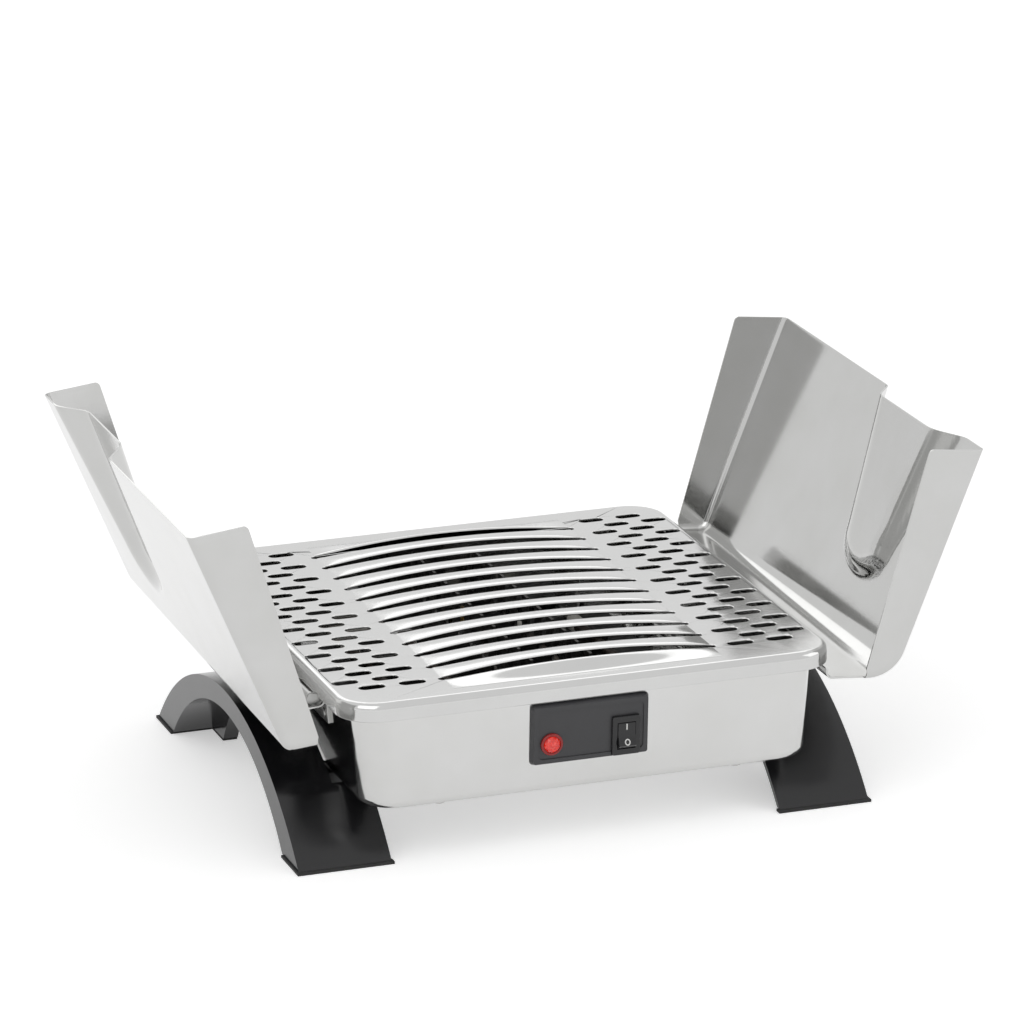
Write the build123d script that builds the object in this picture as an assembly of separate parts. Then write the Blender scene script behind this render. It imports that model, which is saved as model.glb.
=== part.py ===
"""Tabletop plate warmer: a heated base with a slotted top and two hinged side covers.

Millimetres.  +Z is up, the ground is Z = 0, +Y points to the rear, and X = 0, Y = 0 is the
middle of the base.  The covers are modelled standing open, as the warmer is used.
"""
from build123d import *
import os
from math import asin, atan2, cos, hypot, radians, sin, sqrt, tan

# ---------------------------------------------------------------- top plate
BASE_WIDTH = 263.0            # over the skirt, along X
BASE_DEPTH = 274.0            # over the skirt, along Y
CORNER_RADIUS = 21.0          # vertical corners of the skirt
TOP_HEIGHT = 90.0             # ground to the flat of the top plate
SKIRT_HEIGHT = 9.6
SHEET = 1.0                   # sheet of the top plate and of the pan
TOP_EDGE_RADIUS = 3.5

# small vent slots, staggered columns on each side
SMALL_LENGTH = 13.8
SMALL_WIDTH = 6.6
SMALL_SIDE_MARGIN = 11.2      # skirt to the middle of the outermost column
SMALL_COLUMN_STEP = 10.7
SMALL_COLUMNS = 4
SMALL_ROWS = 11
SMALL_FRONT_MARGIN = 27.9     # skirt to the middle of the first row
SMALL_REAR_MARGIN = 21.1

# long plate slots with arched bars between them
SLOT_COUNT = 12
SLOT_FRONT_MARGIN = 27.75     # skirt to the middle of the first slot
SLOT_REAR_MARGIN = 31.75
SLOT_SIDE_MARGIN = 57.0       # skirt to the tips of the slots
SLOT_TIP_WIDTH = 4.5
SLOT_MID_WIDTH = 9.8
BAR_RISE = 4.6                # how far the bars arch above the flat
BAR_END = 2.0                 # slot's tip to the foot of the arched bars

# ---------------------------------------------------------------- pan
PAN_BOTTOM = 31.0             # ground to the underside of the pan
PAN_DRAFT = 4.0               # degrees, the walls close in towards the bottom
PAN_SIDE_INSET = 8.0          # skirt to pan on the hinge sides
PAN_FRONT_INSET = 1.4         # skirt to pan at the front and rear
PAN_CORNER_RADIUS = 19.0
PAN_EDGE_RADIUS = 5.0         # round of the bottom edge
RIM_DROP = 3.8                # top plate's flat to the pan's rim

# ---------------------------------------------------------------- covers
COVER_SHEET = 0.9
HINGE_CLEARANCE_X = 0.1       # hinge axis outside the skirt's face
HINGE_DROP = 3.9              # hinge axis below the skirt's edge
CORNER_OUT = 31.4             # hinge axis to the sharp corner of floor and panel, along X
CORNER_DROP = 6.5             # and down from the axis
PANEL_TOP_OUT = 79.4          # hinge axis to the panel's free edge, along X
PANEL_TOP_RISE = 110.5        # and up from the axis
END_TOP_OUT = 48.9            # hinge axis to the upper corner of an end wall
END_TOP_RISE = 114.0
END_FOOT_OUT = 14.9           # hinge axis to the lower end of an end wall's free edge
END_FOOT_RISE = 0.6
BEND_AT_SCOOP = 20.0          # floor bend at the end with the scoop
BEND_AT_PLAIN = 7.0           # and at the plain end
FOLD_RADIUS = 4.0             # panel and floor into the end walls
END_CORNER_RADIUS = 3.0       # upper corner of the end walls
CLOSING_ANGLE = 106.6         # degrees from open to closed

SCOOP_DEPTH = 12.0            # at the free edge
SCOOP_FLOOR_RUN = 150.0       # free edge to where the scoop's floor would meet the panel
SCOOP_NEAR = 9.0              # middle of the cover to the scoop, at the free edge
SCOOP_END_MARGIN = 25.0       # end wall to the scoop, at the free edge
SCOOP_NEAR_DRIFT = 0.24       # the near side moves out, for each mm down the panel
SCOOP_FAR_DRIFT = 0.375       # the far side moves in
SCOOP_WALL_RUN = 1.45         # run of the scoop's walls for each mm of depth
SCOOP_STRAIGHT = 74.0         # length of the straight sides
SCOOP_LENGTH = 93.0
SCOOP_MIDWAY = 0.2            # share of the rounded part where its section is taken
SCOOP_TIP_SHARE = 0.2         # width and depth left at the scoop's end, as a share
SCOOP_OVERRUN = 8.0           # cutting block past the free edge
SCOOP_OUTSIDE = 3.0           # and out of the panel

# ---------------------------------------------------------------- hinges
HINGE_END_MARGIN = 71.0       # end of a cover to the middle of each hinge
PIN_RADIUS = 2.0
PIN_CLEARANCE = 0.06
PIN_HEAD_RADIUS = 2.9
PIN_HEAD = 0.8
BARREL_RADIUS = 2.9
BARREL_LENGTH = 19.0
BARREL_FOOT = 3.0
CURL_SHIFT = 2.0              # hinge axis to the middle of the curled edge
CURL_LIP = 1.5
EAR_THICKNESS = 2.0
EAR_RADIUS = 3.5
EAR_GAP = 0.4                 # barrel end to ear
EAR_HOLE_CLEARANCE = 0.02
EAR_NOTCH_GAP = 0.7           # cover's edge to an ear
STRIP_PAST_NOTCH = 4.0        # last notch to where the hinge strip ends
BRACKET_PLATE = 1.4
BRACKET_TOP_GAP = 1.4         # skirt's edge to the bracket's top
BRACKET_HEIGHT = 17.0
RIVET_RADIUS = 1.6
RIVET_HEAD_RADIUS = 2.8
RIVET_HEAD = 0.9
RIVET_RISE = 4.5              # bracket's lower edge to the rivets
RIVET_STEP = 12.0

# ---------------------------------------------------------------- feet
FOOT_OUT = 22.5               # foot's outer side past the skirt
FOOT_FRONT_INSET = 13.5       # skirt's front to the front toe
FOOT_REAR_INSET = 3.5
ARCH_DROP = 19.0              # hinge axis to the top of the arch
TOE_LENGTH = 28.0
ARCH_THICKNESS = 11.5
RIB_TOE_LENGTH = 48.0         # heavier rib beside the pan
RIB_WIDTH = 8.0
TOE_SKIN = 3.5                # shell of the toes under the pan
TOE_SKIN_REACH = 19.0         # rib to the shell's inner edge
FOOT_GAP = 0.4                # foot to the side of the pan
PAD_THICKNESS = 1.5
PAD_PROUD = 1.0
LUG_PAST_SCREW = 6.0          # screw lug, hidden under the pan
LUG_LENGTH = 18.0
LUG_HEIGHT = 11.0
FOOT_SCREW_INSET = 8.0        # flat of the pan's floor to the screws
FOOT_SCREW_END_MARGIN = 66.5  # foot's end to the screws
FOOT_SCREW_RADIUS = 2.0
FOOT_SCREW_HEAD_RADIUS = 3.8
FOOT_SCREW_HEAD = 2.6
FOOT_SCREW_SEAT = 7.0         # plastic between the screw's head and the pan
SCREW_CLEARANCE = 0.3
FOOT_NUT_HEIGHT = 3.2
FOOT_NUT_RADIUS = 3.8
SCREW_PROUD = 1.0             # past the nut

# ---------------------------------------------------------------- inside the base
TRAY_SHEET = 0.8
TRAY_SCREW_GAP = 7.2          # foot nuts to the tray
TRAY_END_INSET = 14.0         # flat of the pan's floor to the tray's ends
TRAY_HEIGHT = 6.0
COMB_X = 16.0
COMB_SHEET = 1.5
COMB_FLANGE = 8.0
COMB_FLANGE_END = 3.0         # tray's edge to the end of the flange
COMB_NOTCH_WIDTH = 11.0
COMB_NOTCH_ROUND = 3.0
COMB_END = 7.0                # past the middle of the first and last slot
COMB_TOP_DROP = 5.0           # top plate's flat to the teeth
PLATE_SINK = 28.0             # top plate's flat to the notch floors
COMB_RIVET_INSET = 27.0       # tray's ends to the outer rivets
COMB_RIVET_RADIUS = 1.4
COMB_RIVET_HEAD_RADIUS = 2.6
COMB_RIVET_HEAD = 0.9
HEATER_RISE = 8.5             # tray to the heater's middle
HEATER_RADIUS = 3.2
HEATER_INNER_LEG = 32.0
HEATER_OUTER_LEG = 64.0
HEATER_FRONT_INSET = 37.0     # tray's front to the start of the bend
HEATER_REAR_INSET = 45.0      # tray's rear to the end of the tube
INSULATOR_RADIUS = 4.6
INSULATOR_LENGTH = 9.0
INSULATOR_CHAMFER = 0.8
STUD_RADIUS = 1.5
STUD_LENGTH = 7.0
CLIP_INSET = 28.0             # ends of the heater's legs to the clips
CLIP_SHEET = 1.2
CLIP_FOOT = 9.0
CLIP_MARGIN = 3.0
CLIP_CLEARANCE = 0.1
THERMOSTAT_INSET = 53.0       # tray's rear to the thermostat
THERMOSTAT_RADIUS = 7.0
THERMOSTAT_HEIGHT = 6.0
THERMOSTAT_FLANGE = 1.6
THERMOSTAT_FLANGE_RADIUS = 10.0
CUTOUT_INSET = 53.0           # tray's front to the cut-out
CUTOUT_LENGTH = 14.0
CUTOUT_WIDTH = 6.0
CUTOUT_HEIGHT = 5.0
CUTOUT_STRAP = 4.0
POST_SIDE_INSET = 35.0        # flat of the pan's floor to the posts, along X
POST_RADIUS = 3.6
POST_GAP = 1.0                # flat of the pan's floor to a post, along Y
LID_SCREW_RADIUS = 2.0
LID_SCREW_HEAD_RADIUS = 3.8
LID_SCREW_HEAD = 1.4
LID_SCREW_REACH = 12.0        # into the post

# ---------------------------------------------------------------- switch panel
PANEL_LEFT = -35.0
PANEL_RIGHT = 28.5
PANEL_HEIGHT = 33.0
PANEL_THICKNESS = 3.6
PANEL_GAP_TO_SKIRT = 0.8
PANEL_CORNER = 2.6
PANEL_TAPER = 20.0            # degrees, slope of the panel's sides
PANEL_BORDER = 3.6            # foot of the panel to its sunk middle
PANEL_RECESS = 0.6
FIT = 0.15                    # a part in its cut-out
SWITCH_X = 15.3
SWITCH_DROP = 21.7            # skirt's lower edge to the middle of the switch
BEZEL_WIDTH = 15.0
BEZEL_HEIGHT = 21.0
BEZEL_THICKNESS = 2.0
BEZEL_CORNER = 1.2
BEZEL_ROUND = 0.5
SWITCH_WIDTH = 13.0           # body behind the bezel
SWITCH_HEIGHT = 19.0
SWITCH_DEPTH = 13.0           # bezel's back to the body's rear
SWITCH_FLOOR = 1.6
ROCKER_WIDTH = 9.2
ROCKER_RADIUS = 8.0
ROCKER_GAP = 0.3
ROCKER_TILT = 11.0            # degrees each side of level
ROCKER_PIVOT_DEPTH = 4.0      # behind the bezel's face
ROCKER_CREST = 4.4            # pivot to the rocker's middle crease
ROCKER_BELOW = 2.4            # rocker's underside below the pivot
ROCKER_PIN_RADIUS = 1.0
ROCKER_PIN_LENGTH = 0.8
TAB_WIDTH = 4.8
TAB_THICKNESS = 0.8
TAB_LENGTH = 6.0
TAB_STEP = 6.5                # middle of the switch to each tab
LAMP_X = -24.2
LAMP_DROP = 22.1              # skirt's lower edge to the lamp
LAMP_RIM_RADIUS = 5.85
LAMP_RIM = 1.4
LAMP_LENS_RADIUS = 4.6
LAMP_LENS_RISE = 2.2
LAMP_LENS_SEAT = 0.8
LAMP_BODY_RADIUS = 4.2
LAMP_BODY_LENGTH = 15.0
LAMP_NUT_RADIUS = 6.4
LAMP_NUT = 3.0

# ---------------------------------------------------------------- rear wall and wiring
GLAND_DROP = 18.4             # skirt's lower edge to the gland
GLAND_HEX_RADIUS = 8.0
GLAND_FLANGE = 3.5
GLAND_NOSE_RADIUS = 6.2
GLAND_NOSE = 4.6
GLAND_NOSE_TAPER = 8.0        # degrees
GLAND_THREAD_RADIUS = 5.6
GLAND_THREAD = 8.0
GLAND_BORE_RADIUS = 3.4
GLAND_NUT = 3.5
BLOCK_X = -45.0               # the gland is in line with the terminal block
BLOCK_GAP = 2.0               # flat of the pan's floor to the block
BLOCK_LENGTH = 30.0
BLOCK_WIDTH = 10.0
BLOCK_HEIGHT = 12.0
BLOCK_POLES = 3
BLOCK_SCREW_RADIUS = 1.8
BLOCK_SCREW_DEPTH = 2.5
BLOCK_ROUND = 1.5
EARTH_X = 24.0
EARTH_GAP = 3.0               # flat of the pan's floor to the earth nut
EARTH_RADIUS = 2.0
EARTH_HEIGHT = 9.0
EARTH_NUT_RADIUS = 4.2
EARTH_NUT = 3.2
WIRE_RADIUS = 1.1
WIRE_BEND = 4.0
WIRE_SIDE_Z = 1.6             # wire's middle above the pan's floor
WIRE_TRAY_GAP = 2.6           # tray's edges to the middle of the wires
WIRE_POST_GAP = 6.4           # wires that come down at the front, to the posts

# ---------------------------------------------------------------- derived places
HALF_X = BASE_WIDTH / 2
HALF_Y = BASE_DEPTH / 2
TOP_UNDER = TOP_HEIGHT - SHEET
SKIRT_BOTTOM = TOP_HEIGHT - SKIRT_HEIGHT
RIM_TOP = TOP_HEIGHT - RIM_DROP
SLOT_PITCH = (BASE_DEPTH - SLOT_FRONT_MARGIN - SLOT_REAR_MARGIN) / (SLOT_COUNT - 1)
SLOT_HALF_LENGTH = HALF_X - SLOT_SIDE_MARGIN
BAR_HALF_SPAN = SLOT_HALF_LENGTH - BAR_END
SMALL_ROW_STEP = (BASE_DEPTH - SMALL_FRONT_MARGIN - SMALL_REAR_MARGIN) / (SMALL_ROWS - 1)
SMALL_CENTRE_Y = (SMALL_FRONT_MARGIN - SMALL_REAR_MARGIN) / 2

DRAFT = radians(PAN_DRAFT)
PAN_FLOOR = PAN_BOTTOM + SHEET
PAN_HALF_X = HALF_X - PAN_SIDE_INSET
PAN_HALF_Y = HALF_Y - PAN_FRONT_INSET
FLAT_INSET = (RIM_TOP - PAN_FLOOR) * tan(DRAFT) + PAN_EDGE_RADIUS
FLAT_HALF_X = PAN_HALF_X - FLAT_INSET
FLAT_HALF_Y = PAN_HALF_Y - FLAT_INSET

HINGE_X = HALF_X + HINGE_CLEARANCE_X
HINGE_Z = SKIRT_BOTTOM - HINGE_DROP
HINGE_Y = HALF_Y - HINGE_END_MARGIN
CORNER = (HINGE_X + CORNER_OUT, HINGE_Z - CORNER_DROP)
PANEL_TOP = (HINGE_X + PANEL_TOP_OUT, HINGE_Z + PANEL_TOP_RISE)
END_TOP = (HINGE_X + END_TOP_OUT, HINGE_Z + END_TOP_RISE)
END_FOOT = (HINGE_X + END_FOOT_OUT, HINGE_Z + END_FOOT_RISE)
SCOOP_FAR = HALF_Y - SCOOP_END_MARGIN
CURL_RADIUS = BARREL_RADIUS + COVER_SHEET
BRACKET_TOP = SKIRT_BOTTOM - BRACKET_TOP_GAP
BRACKET_BOTTOM = BRACKET_TOP - BRACKET_HEIGHT
EAR_INNER = BARREL_LENGTH / 2 + EAR_GAP
EAR_OUTER = EAR_INNER + EAR_THICKNESS

FOOT_SIDE_X = PAN_HALF_X + FOOT_GAP
FOOT_OUTER_X = HALF_X + FOOT_OUT
FOOT_SCREW_X = FLAT_HALF_X - FOOT_SCREW_INSET
FOOT_INNER_X = FOOT_SIDE_X - TOE_SKIN_REACH
RIB_OUTER_X = FOOT_SIDE_X + RIB_WIDTH
FOOT_CENTRE_Y = (FOOT_FRONT_INSET - FOOT_REAR_INSET) / 2
FOOT_HALF_LENGTH = HALF_Y - (FOOT_FRONT_INSET + FOOT_REAR_INSET) / 2
FOOT_SCREW_Y = FOOT_HALF_LENGTH - FOOT_SCREW_END_MARGIN
ARCH_RISE = HINGE_Z - ARCH_DROP
UNDER_ARCH_RISE = ARCH_RISE - ARCH_THICKNESS

TRAY_TOP = PAN_FLOOR + TRAY_HEIGHT
TRAY_HALF_X = FOOT_SCREW_X - FOOT_NUT_RADIUS - TRAY_SCREW_GAP
TRAY_HALF_Y = FLAT_HALF_Y - TRAY_END_INSET
COMB_RIVET_Y = (COMB_RIVET_INSET - TRAY_HALF_Y, 0, TRAY_HALF_Y - COMB_RIVET_INSET)
REST_Z = TOP_HEIGHT - PLATE_SINK
HEATER_Z = TRAY_TOP + HEATER_RISE
HEATER_FRONT_Y = HEATER_FRONT_INSET - TRAY_HALF_Y
HEATER_REAR_Y = TRAY_HALF_Y - HEATER_REAR_INSET
CLIP_Y = (HEATER_FRONT_Y + CLIP_INSET, HEATER_REAR_Y - CLIP_INSET)
THERMOSTAT_Y = TRAY_HALF_Y - THERMOSTAT_INSET
CUTOUT_Y = CUTOUT_INSET - TRAY_HALF_Y
POST_X = FLAT_HALF_X - POST_SIDE_INSET
POST_Y = FLAT_HALF_Y - POST_RADIUS - POST_GAP

SWITCH_Z = SKIRT_BOTTOM - SWITCH_DROP
GLAND_Z = SKIRT_BOTTOM - GLAND_DROP
BLOCK_Y = FLAT_HALF_Y - BLOCK_WIDTH / 2 - BLOCK_GAP
EARTH_Y = FLAT_HALF_Y - EARTH_NUT_RADIUS - EARTH_GAP
STUD_END_Y = HEATER_REAR_Y + INSULATOR_LENGTH + STUD_LENGTH
BRIDGE_Y = STUD_END_Y + 2 * WIRE_BEND
WIRE_SIDE_X = TRAY_HALF_X + WIRE_TRAY_GAP
WIRE_SIDE_Y = TRAY_HALF_Y + WIRE_TRAY_GAP
WIRE_DROP_X = POST_X - POST_RADIUS - WIRE_POST_GAP


# ---------------------------------------------------------------- helpers
def wall_half(half_at_rim, z):
    """Half size of the drafted pan at a height."""
    return half_at_rim - (RIM_TOP - z) * tan(DRAFT)


def front_wall(x, z):
    """Plane on the pan's front face: X to the right, Y up the wall, Z out of it."""
    origin = (x, -wall_half(PAN_HALF_Y, z), z)
    return Plane(origin=origin, x_dir=(1, 0, 0), z_dir=(0, -cos(DRAFT), -sin(DRAFT)))


def rear_wall(x, z):
    origin = (x, wall_half(PAN_HALF_Y, z), z)
    return Plane(origin=origin, x_dir=(-1, 0, 0), z_dir=(0, cos(DRAFT), -sin(DRAFT)))


def side_wall(y, z):
    """Plane on the pan's right side: X to the rear, Y up the wall, Z out of it."""
    origin = (wall_half(PAN_HALF_X, z), y, z)
    return Plane(origin=origin, x_dir=(0, 1, 0), z_dir=(cos(DRAFT), 0, -sin(DRAFT)))


def shifted(plane, x, y, lift):
    """A plane moved along its own three directions."""
    return Plane(plane.location * Pos(x, y, lift))


def slot_y(index):
    return SLOT_FRONT_MARGIN - HALF_Y + index * SLOT_PITCH


def block(x0, x1, y0, y1, z0, z1):
    """A block between two values on each axis."""
    middle = Pos((x0 + x1) / 2, (y0 + y1) / 2, (z0 + z1) / 2)
    return middle * Box(abs(x1 - x0), abs(y1 - y0), abs(z1 - z0))


def rod(radius, length, place, axis=(0, 0, 1)):
    """A round bar that starts at a place and runs along an axis."""
    return extrude(Plane(origin=place, z_dir=axis) * Circle(radius), amount=length)


def hexagon(radius, height, place, axis=(0, 0, 1)):
    return extrude(Plane(origin=place, z_dir=axis) * RegularPolygon(radius, 6), amount=height)


def turned(shape):
    """The same piece on the other side of the base, turned half round."""
    return shape.rotate(Axis.Z, 180)


def mirrored(shape):
    return mirror(shape, about=Plane.YZ)


def group(shapes):
    """Separate solids that share one node."""
    return Compound(children=[solid for shape in shapes for solid in shape.solids()])


# ---------------------------------------------------------------- top plate
def slot_outline():
    """Plan of one long slot: two long arcs joined by round tips."""
    tip = SLOT_TIP_WIDTH / 2
    reach = SLOT_HALF_LENGTH - tip
    middle = SLOT_MID_WIDTH / 2
    front = ThreePointArc((-reach, -tip), (0, -middle), (reach, -tip))
    right = ThreePointArc((reach, -tip), (SLOT_HALF_LENGTH, 0), (reach, tip))
    rear = ThreePointArc((reach, tip), (0, middle), (-reach, tip))
    left = ThreePointArc((-reach, tip), (-SLOT_HALF_LENGTH, 0), (-reach, -tip))
    return make_face(front + right + rear + left)


def vent_places():
    places = []
    for column in range(SMALL_COLUMNS):
        rows = SMALL_ROWS - (column + 1) % 2
        x = HALF_X - SMALL_SIDE_MARGIN - column * SMALL_COLUMN_STEP
        for row in range(rows):
            y = SMALL_CENTRE_Y + (row - (rows - 1) / 2) * SMALL_ROW_STEP
            places += [(x, y), (-x, y)]
    return places


def arched_field():
    """One arched sheet over the plate slots, which cut it into bars."""
    span = BAR_HALF_SPAN
    high = ThreePointArc((-span, 0, TOP_HEIGHT), (0, 0, TOP_HEIGHT + BAR_RISE), (span, 0, TOP_HEIGHT))
    low = ThreePointArc((span, 0, TOP_UNDER), (0, 0, TOP_UNDER + BAR_RISE), (-span, 0, TOP_UNDER))
    right = Line((span, 0, TOP_HEIGHT), (span, 0, TOP_UNDER))
    left = Line((-span, 0, TOP_UNDER), (-span, 0, TOP_HEIGHT))
    section = make_face(high + right + low + left)
    first = slot_y(0)
    last = slot_y(SLOT_COUNT - 1)
    return extrude(Pos(0, first, 0) * section, amount=last - first, dir=(0, 1, 0))


def make_top_plate():
    outline = RectangleRounded(BASE_WIDTH, BASE_DEPTH, CORNER_RADIUS)
    outer = Pos(0, 0, SKIRT_BOTTOM) * extrude(outline, amount=SKIRT_HEIGHT)
    outer = fillet(outer.edges().group_by(Axis.Z)[-1], TOP_EDGE_RADIUS)
    inside = RectangleRounded(BASE_WIDTH - 2 * SHEET, BASE_DEPTH - 2 * SHEET, CORNER_RADIUS - SHEET)
    inner = Pos(0, 0, SKIRT_BOTTOM) * extrude(inside, amount=SKIRT_HEIGHT - SHEET)
    inner = fillet(inner.edges().group_by(Axis.Z)[-1], TOP_EDGE_RADIUS - SHEET)
    first = slot_y(0)
    last = slot_y(SLOT_COUNT - 1)
    field = block(-BAR_HALF_SPAN, BAR_HALF_SPAN, first, last, TOP_UNDER, TOP_HEIGHT)
    plate = outer - inner - field + arched_field()
    cut_height = 2 * (SHEET + BAR_RISE)
    slot = extrude(slot_outline(), amount=cut_height)
    vent = extrude(SlotOverall(SMALL_LENGTH, SMALL_WIDTH), amount=cut_height)
    cuts = [Pos(0, slot_y(i), TOP_UNDER - SHEET) * slot for i in range(SLOT_COUNT)]
    cuts += [Pos(x, y, TOP_UNDER - SHEET) * vent for x, y in vent_places()]
    return plate - cuts


# ---------------------------------------------------------------- pan
def pan_block(wall, bottom):
    """The drafted pan as a solid, shrunk by a wall."""
    wide = 2 * (wall_half(PAN_HALF_X, bottom) - wall)
    deep = 2 * (wall_half(PAN_HALF_Y, bottom) - wall)
    foot = RectangleRounded(wide, deep, PAN_CORNER_RADIUS - wall)
    solid = Pos(0, 0, bottom) * extrude(foot, amount=RIM_TOP - bottom, taper=-PAN_DRAFT)
    return fillet(solid.edges().group_by(Axis.Z)[0], PAN_EDGE_RADIUS - wall)


def rivet_places():
    """Rivets of the hinge brackets: Y along the side and height."""
    height = BRACKET_BOTTOM + RIVET_RISE
    steps = (-RIVET_STEP / 2, RIVET_STEP / 2)
    return [(side * HINGE_Y + step, height) for side in (-1, 1) for step in steps]


def foot_screw_places():
    rows = (FOOT_CENTRE_Y - FOOT_SCREW_Y, FOOT_CENTRE_Y + FOOT_SCREW_Y)
    return [(x, y) for x in (-FOOT_SCREW_X, FOOT_SCREW_X) for y in rows]


def post_places():
    return [(x, y) for x in (-POST_X, POST_X) for y in (-POST_Y, POST_Y)]


def make_base_pan():
    inside = pan_block(SHEET, PAN_FLOOR)
    rim_x = 2 * (HALF_X - SHEET - FIT)
    rim_y = 2 * (HALF_Y - SHEET - FIT)
    rim = RectangleRounded(rim_x, rim_y, CORNER_RADIUS - SHEET - FIT)
    flange = Pos(0, 0, RIM_TOP - SHEET) * extrude(rim, amount=SHEET)
    pan = pan_block(0, PAN_BOTTOM) + flange - inside
    reach = 6 * SHEET
    switch = Rectangle(SWITCH_WIDTH + 2 * FIT, SWITCH_HEIGHT + 2 * FIT)
    holes = [extrude(front_wall(SWITCH_X, SWITCH_Z) * switch, amount=reach, both=True)]
    lamp = Circle(LAMP_BODY_RADIUS + FIT)
    holes.append(extrude(front_wall(LAMP_X, SKIRT_BOTTOM - LAMP_DROP) * lamp, amount=reach, both=True))
    gland = Circle(GLAND_THREAD_RADIUS + FIT)
    holes.append(extrude(rear_wall(BLOCK_X, GLAND_Z) * gland, amount=reach, both=True))
    below = PAN_BOTTOM - SHEET
    for x, y in foot_screw_places():
        holes.append(rod(FOOT_SCREW_RADIUS + SCREW_CLEARANCE, 3 * SHEET, (x, y, below)))
    for x, y in post_places():
        holes.append(rod(LID_SCREW_RADIUS + SCREW_CLEARANCE, 3 * SHEET, (x, y, below)))
    for y, z in rivet_places():
        hole = extrude(side_wall(y, z) * Circle(RIVET_RADIUS), amount=reach, both=True)
        holes += [hole, turned(hole)]
    return pan - holes


def make_lid_posts():
    posts = []
    for x, y in post_places():
        post = rod(POST_RADIUS, TOP_UNDER - PAN_FLOOR, (x, y, PAN_FLOOR))
        posts.append(post - rod(LID_SCREW_RADIUS, LID_SCREW_REACH + SHEET, (x, y, PAN_FLOOR)))
    return group(posts)


def make_lid_screws():
    screws = []
    for x, y in post_places():
        head = rod(LID_SCREW_HEAD_RADIUS, LID_SCREW_HEAD, (x, y, PAN_BOTTOM - LID_SCREW_HEAD))
        head = fillet(head.edges().group_by(Axis.Z)[0], LID_SCREW_HEAD / 3)
        screws.append(head + rod(LID_SCREW_RADIUS, SHEET + LID_SCREW_REACH, (x, y, PAN_BOTTOM)))
    return group(screws)


# ---------------------------------------------------------------- covers
def floor_direction():
    """Direction of the cover's floor, which rests under the barrels and meets the corner."""
    run = CORNER[0] - HINGE_X
    rise = CORNER[1] - HINGE_Z
    angle = atan2(rise, run) + asin(CURL_RADIUS / hypot(run, rise))
    return cos(angle), sin(angle)


def panel_direction():
    run = PANEL_TOP[0] - CORNER[0]
    rise = PANEL_TOP[1] - CORNER[1]
    length = hypot(run, rise)
    return run / length, rise / length


def inset_corner(inset):
    """Corner of floor and panel, moved inside the sheet."""
    fx, fz = floor_direction()
    px, pz = panel_direction()
    along = inset / (fx * pz - fz * px)
    return CORNER[0] + along * (px - fx), CORNER[1] + along * (pz - fz)


def cover_section(bend, inset, y, open_side):
    """Section of a cover in X and Z: floor, bend, panel, and the open side."""
    fx, fz = floor_direction()
    px, pz = panel_direction()
    cx, cz = inset_corner(inset)
    turn = atan2(pz, px) - atan2(fz, fx)
    radius = bend - inset
    run = radius * tan(turn / 2)
    start = (cx - fx * run, y, cz - fz * run)
    end = (cx + px * run, y, cz + pz * run)
    size = hypot(px - fx, pz - fz)
    reach = radius / cos(turn / 2) - radius
    middle = (cx + (px - fx) / size * reach, y, cz + (pz - fz) / size * reach)
    length = hypot(PANEL_TOP[0] - CORNER[0], PANEL_TOP[1] - CORNER[1]) + open_side
    foot_x = END_FOOT[0] - open_side
    foot = (foot_x, y, cz + (foot_x - cx) * fz / fx)
    top = (cx + px * length, y, cz + pz * length)
    if open_side == 0:
        top = (PANEL_TOP[0], y, PANEL_TOP[1])
    end_top = (END_TOP[0] - open_side, y, max(END_TOP[1], top[2]))
    end_foot = (foot_x, y, END_FOOT[1])
    path = Line(foot, start) + ThreePointArc(start, middle, end) + Line(end, top)
    return make_face(path + Polyline(top, end_top, end_foot, foot))


def beyond_free_edge(x, z):
    """Distance of a point from the end walls' free edge, positive on the panel's side."""
    run = END_TOP[0] - END_FOOT[0]
    rise = END_TOP[1] - END_FOOT[1]
    return ((x - END_FOOT[0]) * rise - (z - END_FOOT[1]) * run) / hypot(run, rise)


def cover_block(inset, open_side):
    """The cover's space as a solid: outside at inset 0, or its hollow."""
    half = HALF_Y - inset
    scoop_end = cover_section(BEND_AT_SCOOP, inset, -half, open_side)
    plain_end = cover_section(BEND_AT_PLAIN, inset, half, open_side)
    solid = loft([scoop_end, plain_end], ruled=True)
    folds = []
    for edge in solid.edges():
        spot = edge.position_at(0.5)
        at_end = abs(abs(spot.Y) - half) < 1e-3
        on_sheet = beyond_free_edge(spot.X, spot.Z) > FOLD_RADIUS and spot.Z < PANEL_TOP[1] - FOLD_RADIUS
        if at_end and on_sheet:
            folds.append(edge)
    return fillet(folds, FOLD_RADIUS - inset)


def scoop_section(along, grow):
    """Section of the finger scoop at a distance down the panel from its free edge."""
    depth = SCOOP_DEPTH * (1 - along / SCOOP_FLOOR_RUN)
    near = SCOOP_NEAR + SCOOP_NEAR_DRIFT * min(along, SCOOP_STRAIGHT)
    far = SCOOP_FAR - SCOOP_FAR_DRIFT * min(along, SCOOP_STRAIGHT)
    if along > SCOOP_STRAIGHT:
        share = (along - SCOOP_STRAIGHT) / (SCOOP_LENGTH - SCOOP_STRAIGHT)
        left = sqrt(max(1 - share**2, SCOOP_TIP_SHARE**2))
        half = (far - near) / 2 * left
        middle = (far + near) / 2
        near = middle - half
        far = middle + half
        depth *= left
    run = min(SCOOP_WALL_RUN * depth, (far - near) / 3)
    spread = run * SCOOP_OUTSIDE / depth
    points = [
        (near - spread, -SCOOP_OUTSIDE),
        (near + run, depth),
        (far - run, depth),
        (far + spread, -SCOOP_OUTSIDE),
    ]
    outline = make_face(Polyline(*points, close=True))
    if grow:
        outline = offset(outline, grow, kind=Kind.INTERSECTION)
    return outline


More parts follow.
